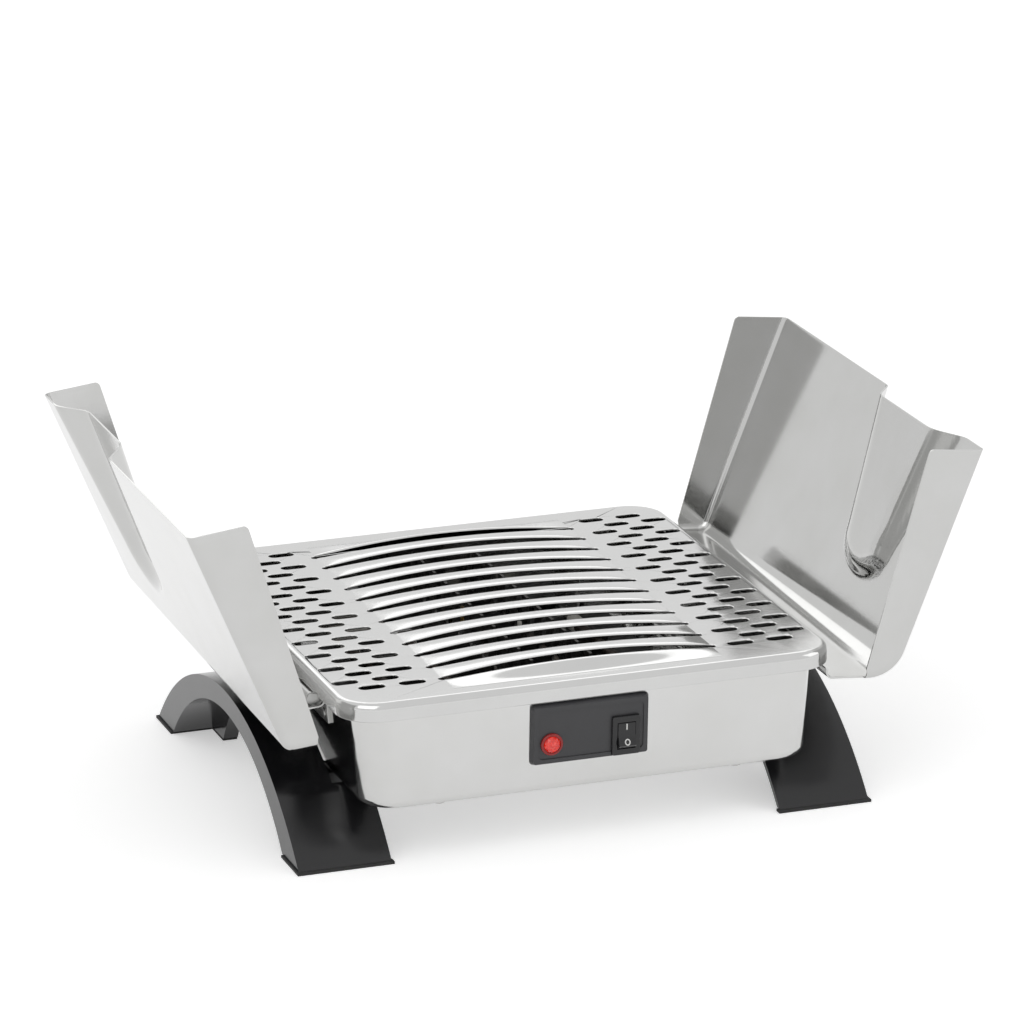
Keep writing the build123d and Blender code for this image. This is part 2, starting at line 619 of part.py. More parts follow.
def scoop_block(grow):
    """Space that the scoop takes from the outside of the panel."""
    px, pz = panel_direction()
    midway = SCOOP_LENGTH - SCOOP_MIDWAY * (SCOOP_LENGTH - SCOOP_STRAIGHT)
    stations = (-SCOOP_OVERRUN, SCOOP_STRAIGHT, midway, SCOOP_LENGTH)
    sections = []
    for along in stations:
        step = along + (grow if along > 0 else 0)
        origin = (PANEL_TOP[0] - px * step, 0, PANEL_TOP[1] - pz * step)
        plane = Plane(origin=origin, x_dir=(0, -1, 0), z_dir=(-px, 0, -pz))
        sections.append(plane * scoop_section(along, grow))
    return loft(sections, ruled=True)


def hinge_strip():
    """Floor from the scoop's end to past the rear hinge, with its inner edge curled up."""
    fx, fz = floor_direction()
    half = HALF_Y - FOLD_RADIUS

    def at(along, up):
        x = HINGE_X + fx * along - fz * up
        z = HINGE_Z + fz * along + fx * up
        return (x, -half, z)

    outer = CURL_RADIUS
    inner = BARREL_RADIUS
    bend = CURL_SHIFT
    half_turn = sin(radians(45))
    far = (END_FOOT[0] - HINGE_X) / fx + FOLD_RADIUS
    path = Line(at(far, -outer), at(-bend, -outer))
    path += ThreePointArc(
        at(-bend, -outer), at(-bend - outer * half_turn, -outer * half_turn), at(-bend - outer, 0)
    )
    path += Polyline(at(-bend - outer, 0), at(-bend - outer, CURL_LIP), at(-bend - inner, CURL_LIP))
    path += Line(at(-bend - inner, CURL_LIP), at(-bend - inner, 0))
    path += ThreePointArc(
        at(-bend - inner, 0), at(-bend - inner * half_turn, -inner * half_turn), at(-bend, -inner)
    )
    path += Polyline(at(-bend, -inner), at(far, -inner), at(far, -outer))
    length = half + HINGE_Y + EAR_OUTER + EAR_NOTCH_GAP + STRIP_PAST_NOTCH
    strip = extrude(make_face(path), amount=length, dir=(0, 1, 0))
    return strip - hinge_notches()


def hinge_notches():
    """Openings in the cover's hinge edge round the brackets and their ears."""
    cuts = []
    for side in (-1, 1):
        middle = side * HINGE_Y
        reach = EAR_OUTER + EAR_NOTCH_GAP
        low = HINGE_Z - 2 * EAR_RADIUS
        high = HINGE_Z + 2 * EAR_RADIUS
        left = HINGE_X - 4 * EAR_RADIUS
        cuts.append(block(left, HINGE_X - BARREL_FOOT / 2, middle - reach, middle + reach, low, high))
        for end in (-1, 1):
            y0 = middle + end * (BARREL_LENGTH / 2)
            y1 = middle + end * reach
            cuts.append(block(left, HINGE_X + EAR_RADIUS + EAR_NOTCH_GAP, y0, y1, low, high))
    return cuts


def make_cover_right():
    past_open_side = 2 * FOLD_RADIUS
    skin = cover_block(0, 0) - scoop_block(0)
    hollow = cover_block(COVER_SHEET, past_open_side) - scoop_block(COVER_SHEET)
    cover = skin - hollow + hinge_strip()
    corners = []
    for edge in cover.edges():
        ends = (edge.position_at(0), edge.position_at(1))
        if all(hypot(end.X - END_TOP[0], end.Z - END_TOP[1]) < COVER_SHEET for end in ends):
            corners.append(edge)
    return fillet(corners, END_CORNER_RADIUS)


def make_barrels_right():
    fx, fz = floor_direction()
    barrels = []
    for side in (-1, 1):
        y0 = side * HINGE_Y - BARREL_LENGTH / 2
        tube = rod(BARREL_RADIUS, BARREL_LENGTH, (HINGE_X, y0, HINGE_Z), (0, 1, 0))
        seat = Plane(origin=(HINGE_X, y0, HINGE_Z), x_dir=(fx, 0, fz), z_dir=(0, 1, 0))
        foot = Pos(0, BARREL_RADIUS / 2) * Rectangle(BARREL_FOOT, BARREL_RADIUS)
        tube += extrude(seat * foot, amount=BARREL_LENGTH)
        bore = rod(PIN_RADIUS + PIN_CLEARANCE, BARREL_LENGTH, (HINGE_X, y0, HINGE_Z), (0, 1, 0))
        barrels.append(tube - bore)
    return group(barrels)


def make_brackets_right():
    brackets = []
    for side in (-1, 1):
        middle = side * HINGE_Y
        height = BRACKET_TOP - BRACKET_BOTTOM
        face = side_wall(middle, BRACKET_BOTTOM)
        plate = Pos(0, height / 2) * Rectangle(2 * EAR_OUTER, height)
        bracket = extrude(face * plate, amount=BRACKET_PLATE)
        for end in (-1, 1):
            y0 = middle + end * EAR_INNER
            y1 = middle + end * EAR_OUTER
            low = min(y0, y1)
            neck_x = wall_half(PAN_HALF_X, HINGE_Z + EAR_RADIUS) + BRACKET_PLATE / 2
            neck = block(neck_x, HINGE_X, y0, y1, HINGE_Z - EAR_RADIUS, HINGE_Z + EAR_RADIUS)
            bracket += neck + rod(EAR_RADIUS, EAR_THICKNESS, (HINGE_X, low, HINGE_Z), (0, 1, 0))
        start = (HINGE_X, middle - EAR_OUTER, HINGE_Z)
        bracket -= rod(PIN_RADIUS + EAR_HOLE_CLEARANCE, 2 * EAR_OUTER, start, (0, 1, 0))
        for y, z in rivet_places():
            bracket -= extrude(side_wall(y, z) * Circle(RIVET_RADIUS), amount=2 * BRACKET_PLATE)
        brackets.append(bracket)
    return group(brackets)


def make_pins_right():
    pins = []
    for side in (-1, 1):
        y0 = side * HINGE_Y - EAR_OUTER
        pin = rod(PIN_RADIUS, 2 * EAR_OUTER, (HINGE_X, y0, HINGE_Z), (0, 1, 0))
        pin += rod(PIN_HEAD_RADIUS, PIN_HEAD, (HINGE_X, y0 - PIN_HEAD, HINGE_Z), (0, 1, 0))
        pin += rod(PIN_HEAD_RADIUS, PIN_HEAD, (HINGE_X, y0 + 2 * EAR_OUTER, HINGE_Z), (0, 1, 0))
        pins.append(pin)
    return group(pins)


def make_bracket_rivets():
    rivets = []
    for y, z in rivet_places():
        face = side_wall(y, z)
        shank = extrude(face * Pos(0, 0, -SHEET) * Circle(RIVET_RADIUS), amount=SHEET + BRACKET_PLATE)
        outer = extrude(face * Pos(0, 0, BRACKET_PLATE) * Circle(RIVET_HEAD_RADIUS), amount=RIVET_HEAD)
        inner_face = face * Pos(0, 0, -SHEET - RIVET_HEAD)
        inner = extrude(inner_face * Circle(RIVET_HEAD_RADIUS), amount=RIVET_HEAD)
        rivet = shank + outer + inner
        rivets += [rivet, turned(rivet)]
    return group(rivets)


# ---------------------------------------------------------------- feet
def arch_face(toe, inner_rise, x):
    """Side view of a foot in Y and Z: two arcs that share a middle."""
    out = FOOT_HALF_LENGTH
    inn = FOOT_HALF_LENGTH - toe
    y = FOOT_CENTRE_Y
    outer = ThreePointArc((x, y - out, 0), (x, y, ARCH_RISE), (x, y + out, 0))
    inner = ThreePointArc((x, y + inn, 0), (x, y, inner_rise), (x, y - inn, 0))
    rear = Line((x, y + out, 0), (x, y + inn, 0))
    front = Line((x, y - inn, 0), (x, y - out, 0))
    return make_face(outer + rear + inner + front)


def make_foot_right():
    long = 2 * FOOT_HALF_LENGTH
    wide = 2 * FOOT_OUTER_X
    band = arch_face(TOE_LENGTH, UNDER_ARCH_RISE, RIB_OUTER_X)
    foot = extrude(band, amount=FOOT_OUTER_X - RIB_OUTER_X, dir=(1, 0, 0))
    rib = arch_face(RIB_TOE_LENGTH, UNDER_ARCH_RISE, FOOT_SIDE_X)
    foot += extrude(rib, amount=RIB_WIDTH, dir=(1, 0, 0))
    skin = arch_face(TOE_SKIN, ARCH_RISE - TOE_SKIN, FOOT_INNER_X)
    toes = extrude(skin, amount=TOE_SKIN_REACH, dir=(1, 0, 0))
    foot += toes - block(0, wide, -long, long, PAN_BOTTOM, 2 * ARCH_RISE)
    arm_x = FOOT_SCREW_X - LUG_PAST_SCREW
    arm_low = PAN_BOTTOM - LUG_HEIGHT
    seat = PAN_BOTTOM - FOOT_SCREW_SEAT
    for y in (FOOT_CENTRE_Y - FOOT_SCREW_Y, FOOT_CENTRE_Y + FOOT_SCREW_Y):
        foot += block(arm_x, FOOT_SIDE_X, y - LUG_LENGTH / 2, y + LUG_LENGTH / 2, arm_low, PAN_BOTTOM)
        foot -= rod(FOOT_SCREW_RADIUS + SCREW_CLEARANCE, PAN_BOTTOM, (FOOT_SCREW_X, y, 0))
        foot -= rod(FOOT_SCREW_HEAD_RADIUS + SCREW_CLEARANCE, seat, (FOOT_SCREW_X, y, 0))
    return foot - block(0, wide, -long, long, 0, PAD_THICKNESS)


def make_foot_pads():
    pads = []
    outer_x = FOOT_OUTER_X + PAD_PROUD
    inner_x = FOOT_INNER_X - PAD_PROUD
    for end in (-1, 1):
        tip = FOOT_CENTRE_Y + end * (FOOT_HALF_LENGTH + PAD_PROUD)
        band_end = FOOT_CENTRE_Y + end * (FOOT_HALF_LENGTH - TOE_LENGTH)
        rib_end = FOOT_CENTRE_Y + end * (FOOT_HALF_LENGTH - RIB_TOE_LENGTH)
        skin_end = FOOT_CENTRE_Y + end * (FOOT_HALF_LENGTH - TOE_SKIN)
        pad = block(RIB_OUTER_X, outer_x, tip, band_end, 0, PAD_THICKNESS)
        pad += block(FOOT_SIDE_X, RIB_OUTER_X, tip, rib_end, 0, PAD_THICKNESS)
        pad += block(inner_x, FOOT_SIDE_X, tip, skin_end, 0, PAD_THICKNESS)
        pads += [pad, mirrored(pad)]
    return group(pads)


def make_foot_screws():
    screws = []
    seat = PAN_BOTTOM - FOOT_SCREW_SEAT
    length = FOOT_SCREW_SEAT + SHEET + FOOT_NUT_HEIGHT + SCREW_PROUD
    for x, y in foot_screw_places():
        head = rod(FOOT_SCREW_HEAD_RADIUS, FOOT_SCREW_HEAD, (x, y, seat - FOOT_SCREW_HEAD))
        screws.append(head + rod(FOOT_SCREW_RADIUS, length, (x, y, seat)))
    return group(screws)


def make_foot_nuts():
    nuts = []
    for x, y in foot_screw_places():
        nut = hexagon(FOOT_NUT_RADIUS, FOOT_NUT_HEIGHT, (x, y, PAN_FLOOR))
        nuts.append(nut - rod(FOOT_SCREW_RADIUS, FOOT_NUT_HEIGHT, (x, y, PAN_FLOOR)))
    return group(nuts)


# ---------------------------------------------------------------- inside the base
def make_reflector_tray():
    tray = block(-TRAY_HALF_X, TRAY_HALF_X, -TRAY_HALF_Y, TRAY_HALF_Y, PAN_FLOOR, TRAY_TOP)
    x = TRAY_HALF_X - TRAY_SHEET
    y = TRAY_HALF_Y - TRAY_SHEET
    tray -= block(-x, x, -y, y, PAN_FLOOR, TRAY_TOP - TRAY_SHEET)
    for rivet_x, rivet_y in comb_rivet_places():
        tray -= rod(COMB_RIVET_RADIUS, 3 * TRAY_SHEET, (rivet_x, rivet_y, TRAY_TOP - 2 * TRAY_SHEET))
    return tray


def comb_rivet_places():
    x = COMB_X + COMB_SHEET / 2 + COMB_FLANGE / 2
    return [(side * x, y) for side in (-1, 1) for y in COMB_RIVET_Y]


def make_comb_right():
    """Rail with a notch under each long slot, where the plates' rims stand."""
    first = slot_y(0) - COMB_END
    last = slot_y(SLOT_COUNT - 1) + COMB_END
    x0 = COMB_X - COMB_SHEET / 2
    x1 = COMB_X + COMB_SHEET / 2
    top = TOP_HEIGHT - COMB_TOP_DROP
    web = block(x0, x1, first, last, TRAY_TOP, top)
    notch_height = top - REST_Z
    notch = Rectangle(COMB_NOTCH_WIDTH, 2 * notch_height)
    notch = fillet(notch.vertices(), COMB_NOTCH_ROUND)
    for index in range(SLOT_COUNT):
        plane = Plane(origin=(x0, slot_y(index), top), x_dir=(0, 1, 0), z_dir=(1, 0, 0))
        web -= extrude(plane * notch, amount=COMB_SHEET)
    web -= rod(2 * WIRE_RADIUS, COMB_SHEET, (x0, BRIDGE_Y, HEATER_Z), (1, 0, 0))
    reach = TRAY_HALF_Y - COMB_FLANGE_END
    comb = web + block(x0, x1 + COMB_FLANGE, -reach, reach, TRAY_TOP, TRAY_TOP + COMB_SHEET)
    for rivet_x, rivet_y in comb_rivet_places():
        comb -= rod(COMB_RIVET_RADIUS, COMB_SHEET, (rivet_x, rivet_y, TRAY_TOP))
    return comb


def make_comb_rivets():
    rivets = []
    for x, y in comb_rivet_places():
        low = TRAY_TOP - TRAY_SHEET
        high = TRAY_TOP + COMB_SHEET
        rivet = rod(COMB_RIVET_RADIUS, high - low, (x, y, low))
        rivet += rod(COMB_RIVET_HEAD_RADIUS, COMB_RIVET_HEAD, (x, y, high))
        rivet += rod(COMB_RIVET_HEAD_RADIUS, COMB_RIVET_HEAD, (x, y, low - COMB_RIVET_HEAD))
        rivets.append(rivet)
    return group(rivets)


def make_heater_right():
    """Hairpin tube: two legs and a half-round bend at the front."""
    middle = (HEATER_INNER_LEG + HEATER_OUTER_LEG) / 2
    bend = (HEATER_OUTER_LEG - HEATER_INNER_LEG) / 2
    z = HEATER_Z
    rear_inner = (HEATER_INNER_LEG, HEATER_REAR_Y, z)
    front_inner = (HEATER_INNER_LEG, HEATER_FRONT_Y, z)
    front_outer = (HEATER_OUTER_LEG, HEATER_FRONT_Y, z)
    rear_outer = (HEATER_OUTER_LEG, HEATER_REAR_Y, z)
    path = Line(rear_inner, front_inner)
    path += ThreePointArc(front_inner, (middle, HEATER_FRONT_Y - bend, z), front_outer)
    path += Line(front_outer, rear_outer)
    section = Plane(origin=rear_inner, z_dir=(0, -1, 0)) * Circle(HEATER_RADIUS)
    return sweep(section, path=path)


def leg_places():
    legs = (HEATER_INNER_LEG, HEATER_OUTER_LEG)
    return [side * leg for side in (-1, 1) for leg in legs]


def make_insulators():
    """Ceramic end pieces of the heaters with their studs."""
    pieces = []
    for x in leg_places():
        start = (x, HEATER_REAR_Y, HEATER_Z)
        piece = rod(INSULATOR_RADIUS, INSULATOR_LENGTH, start, (0, 1, 0))
        piece = chamfer(piece.edges().filter_by(GeomType.CIRCLE), INSULATOR_CHAMFER)
        stud_start = (x, HEATER_REAR_Y + INSULATOR_LENGTH, HEATER_Z)
        pieces.append(piece + rod(STUD_RADIUS, STUD_LENGTH, stud_start, (0, 1, 0)))
    return group(pieces)


def make_heater_clips():
    """Sheet stands that carry the heaters over the tray."""
    clips = []
    reach = HEATER_RADIUS + CLIP_MARGIN
    for y in CLIP_Y:
        x0 = HEATER_INNER_LEG - reach
        x1 = HEATER_OUTER_LEG + reach
        clip = block(x0, x1, y, y + CLIP_SHEET, TRAY_TOP, HEATER_Z + reach)
        clip += block(x0, x1, y, y + CLIP_FOOT, TRAY_TOP, TRAY_TOP + CLIP_SHEET)
        for leg in (HEATER_INNER_LEG, HEATER_OUTER_LEG):
            clip -= rod(HEATER_RADIUS + CLIP_CLEARANCE, CLIP_SHEET, (leg, y, HEATER_Z), (0, 1, 0))
        clips += [clip, mirrored(clip)]
    return group(clips)


def make_thermostat():
    body = rod(THERMOSTAT_FLANGE_RADIUS, THERMOSTAT_FLANGE, (0, THERMOSTAT_Y, TRAY_TOP))
    body += rod(THERMOSTAT_RADIUS, THERMOSTAT_HEIGHT, (0, THERMOSTAT_Y, TRAY_TOP + THERMOSTAT_FLANGE))
    top = TRAY_TOP + THERMOSTAT_FLANGE + THERMOSTAT_HEIGHT
    for side in (-1, 1):
        y = THERMOSTAT_Y + side * THERMOSTAT_RADIUS / 2
        body += block(-TAB_WIDTH / 2, TAB_WIDTH / 2, y, y + TAB_THICKNESS, top, top + TAB_LENGTH)
    return body


def make_thermal_cutout():
    """Small can held on the tray by a strap."""
    half = CUTOUT_LENGTH / 2
    low = TRAY_TOP
    can = block(-half, half, CUTOUT_Y, CUTOUT_Y + CUTOUT_WIDTH, low, low + CUTOUT_HEIGHT)
    can = fillet(can.edges().filter_by(Axis.X).group_by(Axis.Z)[-1], CUTOUT_HEIGHT / 3)
    reach = half + CUTOUT_STRAP
    return can + block(-reach, reach, CUTOUT_Y, CUTOUT_Y + CUTOUT_WIDTH, low, low + SHEET)


# ---------------------------------------------------------------- switch panel
def panel_top_y():
    """Top of the panel in the front wall's own plane, measured from the switch."""
    return (SWITCH_DROP - PANEL_GAP_TO_SKIRT) / cos(DRAFT)


def panel_plane(x, drop, lift):
    """Plane on the panel, at a place below the skirt and a height off the pan's wall."""
    up = (SWITCH_DROP - drop) / cos(DRAFT)
    return shifted(front_wall(SWITCH_X, SWITCH_Z), x - SWITCH_X, up, lift)


def panel_rectangle(margin):
    wide = PANEL_RIGHT - PANEL_LEFT - 2 * margin
    middle_x = (PANEL_RIGHT + PANEL_LEFT) / 2 - SWITCH_X
    middle_y = panel_top_y() - PANEL_HEIGHT / 2
    return Pos(middle_x, middle_y) * RectangleRounded(wide, PANEL_HEIGHT - 2 * margin, PANEL_CORNER)


def make_switch_panel():
    base = front_wall(SWITCH_X, SWITCH_Z)
    plate = extrude(base * panel_rectangle(0), amount=PANEL_THICKNESS, taper=PANEL_TAPER)
    floor = PANEL_THICKNESS - PANEL_RECESS
    plate -= extrude(base * Pos(0, 0, floor) * panel_rectangle(PANEL_BORDER), amount=PANEL_RECESS)
    bezel = RectangleRounded(BEZEL_WIDTH + 2 * FIT, BEZEL_HEIGHT + 2 * FIT, BEZEL_CORNER)
    plate -= extrude(base * Pos(0, 0, floor) * bezel, amount=PANEL_RECESS)
    switch = Rectangle(SWITCH_WIDTH + 2 * FIT, SWITCH_HEIGHT + 2 * FIT)
    plate -= extrude(base * switch, amount=PANEL_THICKNESS)
    lamp = panel_plane(LAMP_X, LAMP_DROP, 0) * Circle(LAMP_BODY_RADIUS + FIT)
    plate -= extrude(lamp, amount=PANEL_THICKNESS)
    return plate


def switch_seat():
    """Plane on the recessed face of the panel, in the middle of the switch."""
    return panel_plane(SWITCH_X, SWITCH_DROP, PANEL_THICKNESS - PANEL_RECESS)


def pivot_plane(offset_x):
    """Plane across the rocker's pivot: local X up the wall, local Y out of it."""
    seat = shifted(switch_seat(), offset_x, 0, BEZEL_THICKNESS - ROCKER_PIVOT_DEPTH)
    return Plane(origin=seat.origin, x_dir=seat.y_dir, z_dir=seat.x_dir)


def make_switch_body():
    seat = switch_seat()
    bezel = extrude(seat * RectangleRounded(BEZEL_WIDTH, BEZEL_HEIGHT, BEZEL_CORNER), amount=BEZEL_THICKNESS)
    front = bezel.faces().sort_by(lambda face: face.center().Y)[0]
    bezel = fillet(front.edges(), BEZEL_ROUND)
    body = bezel + extrude(seat * Rectangle(SWITCH_WIDTH, SWITCH_HEIGHT), amount=-SWITCH_DEPTH)
    width = ROCKER_WIDTH + 2 * ROCKER_GAP
    reach = ROCKER_RADIUS + ROCKER_GAP
    body -= extrude(pivot_plane(-width / 2) * Circle(reach), amount=width)
    pin_hole = Circle(ROCKER_PIN_RADIUS + PIN_CLEARANCE)
    pin_reach = ROCKER_WIDTH + 2 * (ROCKER_PIN_LENGTH + ROCKER_GAP)
    body -= extrude(pivot_plane(-pin_reach / 2) * pin_hole, amount=pin_reach)
    for place in tab_places():
        body -= extrude(place * Rectangle(TAB_WIDTH, TAB_THICKNESS), amount=-SWITCH_FLOOR)
    return body


def tab_places():
    """Planes on the rear of the switch body where the tabs come out."""
    rear = SWITCH_DEPTH - SWITCH_FLOOR
    return [shifted(switch_seat(), 0, step, -rear) for step in (-TAB_STEP, 0, TAB_STEP)]


def make_switch_tabs():
    tabs = []
    for place in tab_places():
        tabs.append(extrude(place * Rectangle(TAB_WIDTH, TAB_THICKNESS), amount=-SWITCH_FLOOR - TAB_LENGTH))
    return group(tabs)


def make_rocker():
    """Rocker with a shallow V face, tilted to its resting side."""
    plane = pivot_plane(-ROCKER_WIDTH / 2)
    disc = Circle(ROCKER_RADIUS)
    slope = tan(radians(ROCKER_TILT))
    far = 2 * ROCKER_RADIUS
    keep = Polyline(
        (-far, -ROCKER_BELOW),
        (far, -ROCKER_BELOW),
        (far, ROCKER_CREST + far * slope),
        (0, ROCKER_CREST),
        (-far, ROCKER_CREST + far * slope),
        close=True,
    )
    section = disc & make_face(keep)
    rocker = extrude(plane * Rot(0, 0, -ROCKER_TILT) * section, amount=ROCKER_WIDTH)
    pin_reach = ROCKER_WIDTH + 2 * ROCKER_PIN_LENGTH
    return rocker + extrude(pivot_plane(-pin_reach / 2) * Circle(ROCKER_PIN_RADIUS), amount=pin_reach)


def lamp_plane(lift):
    return panel_plane(LAMP_X, LAMP_DROP, PANEL_THICKNESS - PANEL_RECESS + lift)


def make_indicator_body():
    rim = extrude(lamp_plane(0) * Circle(LAMP_RIM_RADIUS), amount=LAMP_RIM)
    front = rim.faces().sort_by(lambda face: face.center().Y)[0]
    rim = fillet(front.edges(), LAMP_RIM / 3)
    body = rim + extrude(lamp_plane(0) * Circle(LAMP_BODY_RADIUS), amount=-LAMP_BODY_LENGTH)
    return body - extrude(lamp_plane(LAMP_LENS_SEAT) * Circle(LAMP_LENS_RADIUS), amount=LAMP_RIM)


def make_indicator_lens():
    """Domed lens that sits in the rim."""
    radius = LAMP_LENS_RADIUS - FIT / 2
    straight = LAMP_RIM - LAMP_LENS_SEAT
    lens = extrude(lamp_plane(LAMP_LENS_SEAT) * Circle(radius), amount=straight)
    ball_radius = (radius**2 + LAMP_LENS_RISE**2) / (2 * LAMP_LENS_RISE)
    plane = lamp_plane(LAMP_RIM + LAMP_LENS_RISE - ball_radius)
    cap = plane * Sphere(ball_radius)
    above = extrude(lamp_plane(LAMP_RIM) * Circle(radius), amount=2 * LAMP_LENS_RISE)
    return lens + (cap & above)


def make_indicator_nut():
    behind = -(PANEL_THICKNESS - PANEL_RECESS) - SHEET - LAMP_NUT
    plane = lamp_plane(behind)
    nut = extrude(plane * RegularPolygon(LAMP_NUT_RADIUS, 6), amount=LAMP_NUT)
    return nut - extrude(plane * Circle(LAMP_BODY_RADIUS), amount=LAMP_NUT)


# ---------------------------------------------------------------- rear wall and wiring
def gland_plane(lift):
    return shifted(rear_wall(BLOCK_X, GLAND_Z), 0, 0, lift)


def make_cable_gland():
    gland = extrude(gland_plane(0) * RegularPolygon(GLAND_HEX_RADIUS, 6), amount=GLAND_FLANGE)
    nose = gland_plane(GLAND_FLANGE) * Circle(GLAND_NOSE_RADIUS)
    gland += extrude(nose, amount=GLAND_NOSE, taper=GLAND_NOSE_TAPER)
    gland += extrude(gland_plane(0) * Circle(GLAND_THREAD_RADIUS), amount=-GLAND_THREAD)
    length = GLAND_THREAD + GLAND_FLANGE + GLAND_NOSE
    return gland - extrude(gland_plane(-GLAND_THREAD) * Circle(GLAND_BORE_RADIUS), amount=length)


def make_gland_nut():
    plane = gland_plane(-SHEET - GLAND_NUT)
    nut = extrude(plane * RegularPolygon(GLAND_HEX_RADIUS, 6), amount=GLAND_NUT)
    return nut - extrude(plane * Circle(GLAND_THREAD_RADIUS), amount=GLAND_NUT)


def make_terminal_block():
    x0 = BLOCK_X - BLOCK_LENGTH / 2
    x1 = BLOCK_X + BLOCK_LENGTH / 2
    y0 = BLOCK_Y - BLOCK_WIDTH / 2
    y1 = BLOCK_Y + BLOCK_WIDTH / 2
    top = PAN_FLOOR + BLOCK_HEIGHT
    body = block(x0, x1, y0, y1, PAN_FLOOR, top)
    body = fillet(body.edges().filter_by(Axis.X).group_by(Axis.Z)[-1], BLOCK_ROUND)
    step = BLOCK_LENGTH / BLOCK_POLES
    for pole in range(BLOCK_POLES):
        x = x0 + (pole + 0.5) * step
        body -= rod(BLOCK_SCREW_RADIUS, BLOCK_SCREW_DEPTH, (x, BLOCK_Y, top - BLOCK_SCREW_DEPTH))
    return body


def make_earth_stud():
    stud = rod(EARTH_RADIUS, EARTH_HEIGHT, (EARTH_X, EARTH_Y, PAN_FLOOR))
    return stud + hexagon(EARTH_NUT_RADIUS, EARTH_NUT, (EARTH_X, EARTH_Y, PAN_FLOOR))


def wire(points):
    """An insulated wire along straight runs joined by arcs."""
    path = FilletPolyline(*points, radius=WIRE_BEND)
    start = path @ 0
    section = Plane(origin=start, z_dir=path % 0) * Circle(WIRE_RADIUS)
    return sweep(section, path=path)


def tab_side(side, step):
    """Point on the side of a switch tab, near its end."""
    depth = SWITCH_DEPTH + TAB_LENGTH - 2 * WIRE_RADIUS
    return shifted(switch_seat(), side * TAB_WIDTH / 2, step, -depth).origin


def make_wiring():
    low = PAN_FLOOR + WIRE_SIDE_Z
    supply = tab_side(-1, TAB_STEP)
    feed = tab_side(1, -TAB_STEP)
    live = wire([
        (supply.X, supply.Y, supply.Z),
        (-WIRE_DROP_X, supply.Y, supply.Z),
        (-WIRE_DROP_X, -WIRE_SIDE_Y, low),
        (-WIRE_SIDE_X, -WIRE_SIDE_Y, low),
        (-WIRE_SIDE_X, WIRE_SIDE_Y, low),
        (BLOCK_X - BLOCK_LENGTH / 2, WIRE_SIDE_Y, low),
    ])
    switched = wire([
        (feed.X, feed.Y, feed.Z),
        (WIRE_DROP_X, feed.Y, feed.Z),
        (WIRE_DROP_X, -WIRE_SIDE_Y, low),
        (WIRE_SIDE_X, -WIRE_SIDE_Y, low),
        (WIRE_SIDE_X, BRIDGE_Y, low),
        (WIRE_SIDE_X, BRIDGE_Y, HEATER_Z),
        (HEATER_OUTER_LEG, BRIDGE_Y, HEATER_Z),
        (HEATER_OUTER_LEG, STUD_END_Y, HEATER_Z),
    ])
    bridge = wire([
        (HEATER_INNER_LEG, STUD_END_Y, HEATER_Z),
        (HEATER_INNER_LEG, BRIDGE_Y, HEATER_Z),
        (-HEATER_INNER_LEG, BRIDGE_Y, HEATER_Z),
        (-HEATER_INNER_LEG, STUD_END_Y, HEATER_Z),
    ])
    return group([live, switched, bridge])


PIECES = {
    "top_plate": make_top_plate,
    "base_pan": make_base_pan,
    "lid_posts": make_lid_posts,
    "lid_screws": make_lid_screws,
    "cover_right": make_cover_right,
    "cover_left": lambda: turned(make_cover_right()),
    "hinge_barrels_right": make_barrels_right,
    "hinge_barrels_left": lambda: turned(make_barrels_right()),
    "hinge_brackets_right": make_brackets_right,
    "hinge_brackets_left": lambda: turned(make_brackets_right()),
    "hinge_pins_right": make_pins_right,
    "hinge_pins_left": lambda: turned(make_pins_right()),
    "bracket_rivets": make_bracket_rivets,
    "foot_right": make_foot_right,
    "foot_left": lambda: mirrored(make_foot_right()),
    "foot_pads": make_foot_pads,
    "foot_screws": make_foot_screws,
    "foot_nuts": make_foot_nuts,
    "reflector_tray": make_reflector_tray,
    "plate_comb_right": make_comb_right,
    "plate_comb_left": lambda: mirrored(make_comb_right()),
    "comb_rivets": make_comb_rivets,
    "heater_right": make_heater_right,
    "heater_left": lambda: mirrored(make_heater_right()),
    "heater_insulators": make_insulators,
    "heater_clips": make_heater_clips,
    "thermostat": make_thermostat,
    "thermal_cutout": make_thermal_cutout,
    "switch_panel": make_switch_panel,
    "switch_body": make_switch_body,
    "switch_tabs": make_switch_tabs,
    "rocker": make_rocker,
    "indicator_body": make_indicator_body,
    "indicator_lens": make_indicator_lens,
    "indicator_nut": make_indicator_nut,
    "cable_gland": make_cable_gland,
    "gland_nut": make_gland_nut,
    "terminal_block": make_terminal_block,
    "earth_stud": make_earth_stud,
    "wiring": make_wiring,
}

os.makedirs("parts", exist_ok=True)
for name, make in PIECES.items():
    export_step(make(), "parts/" + name + ".step")
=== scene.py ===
"""Tabletop plate warmer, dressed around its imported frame.

Lengths named here are millimetres in the part's own frame (+Z up, +Y to the rear, X = 0 and Y = 0 in
the middle of the base); mm() turns them into the scene's metres.
"""
from math import asin, atan2, cos, hypot, pi, radians, sin, tan

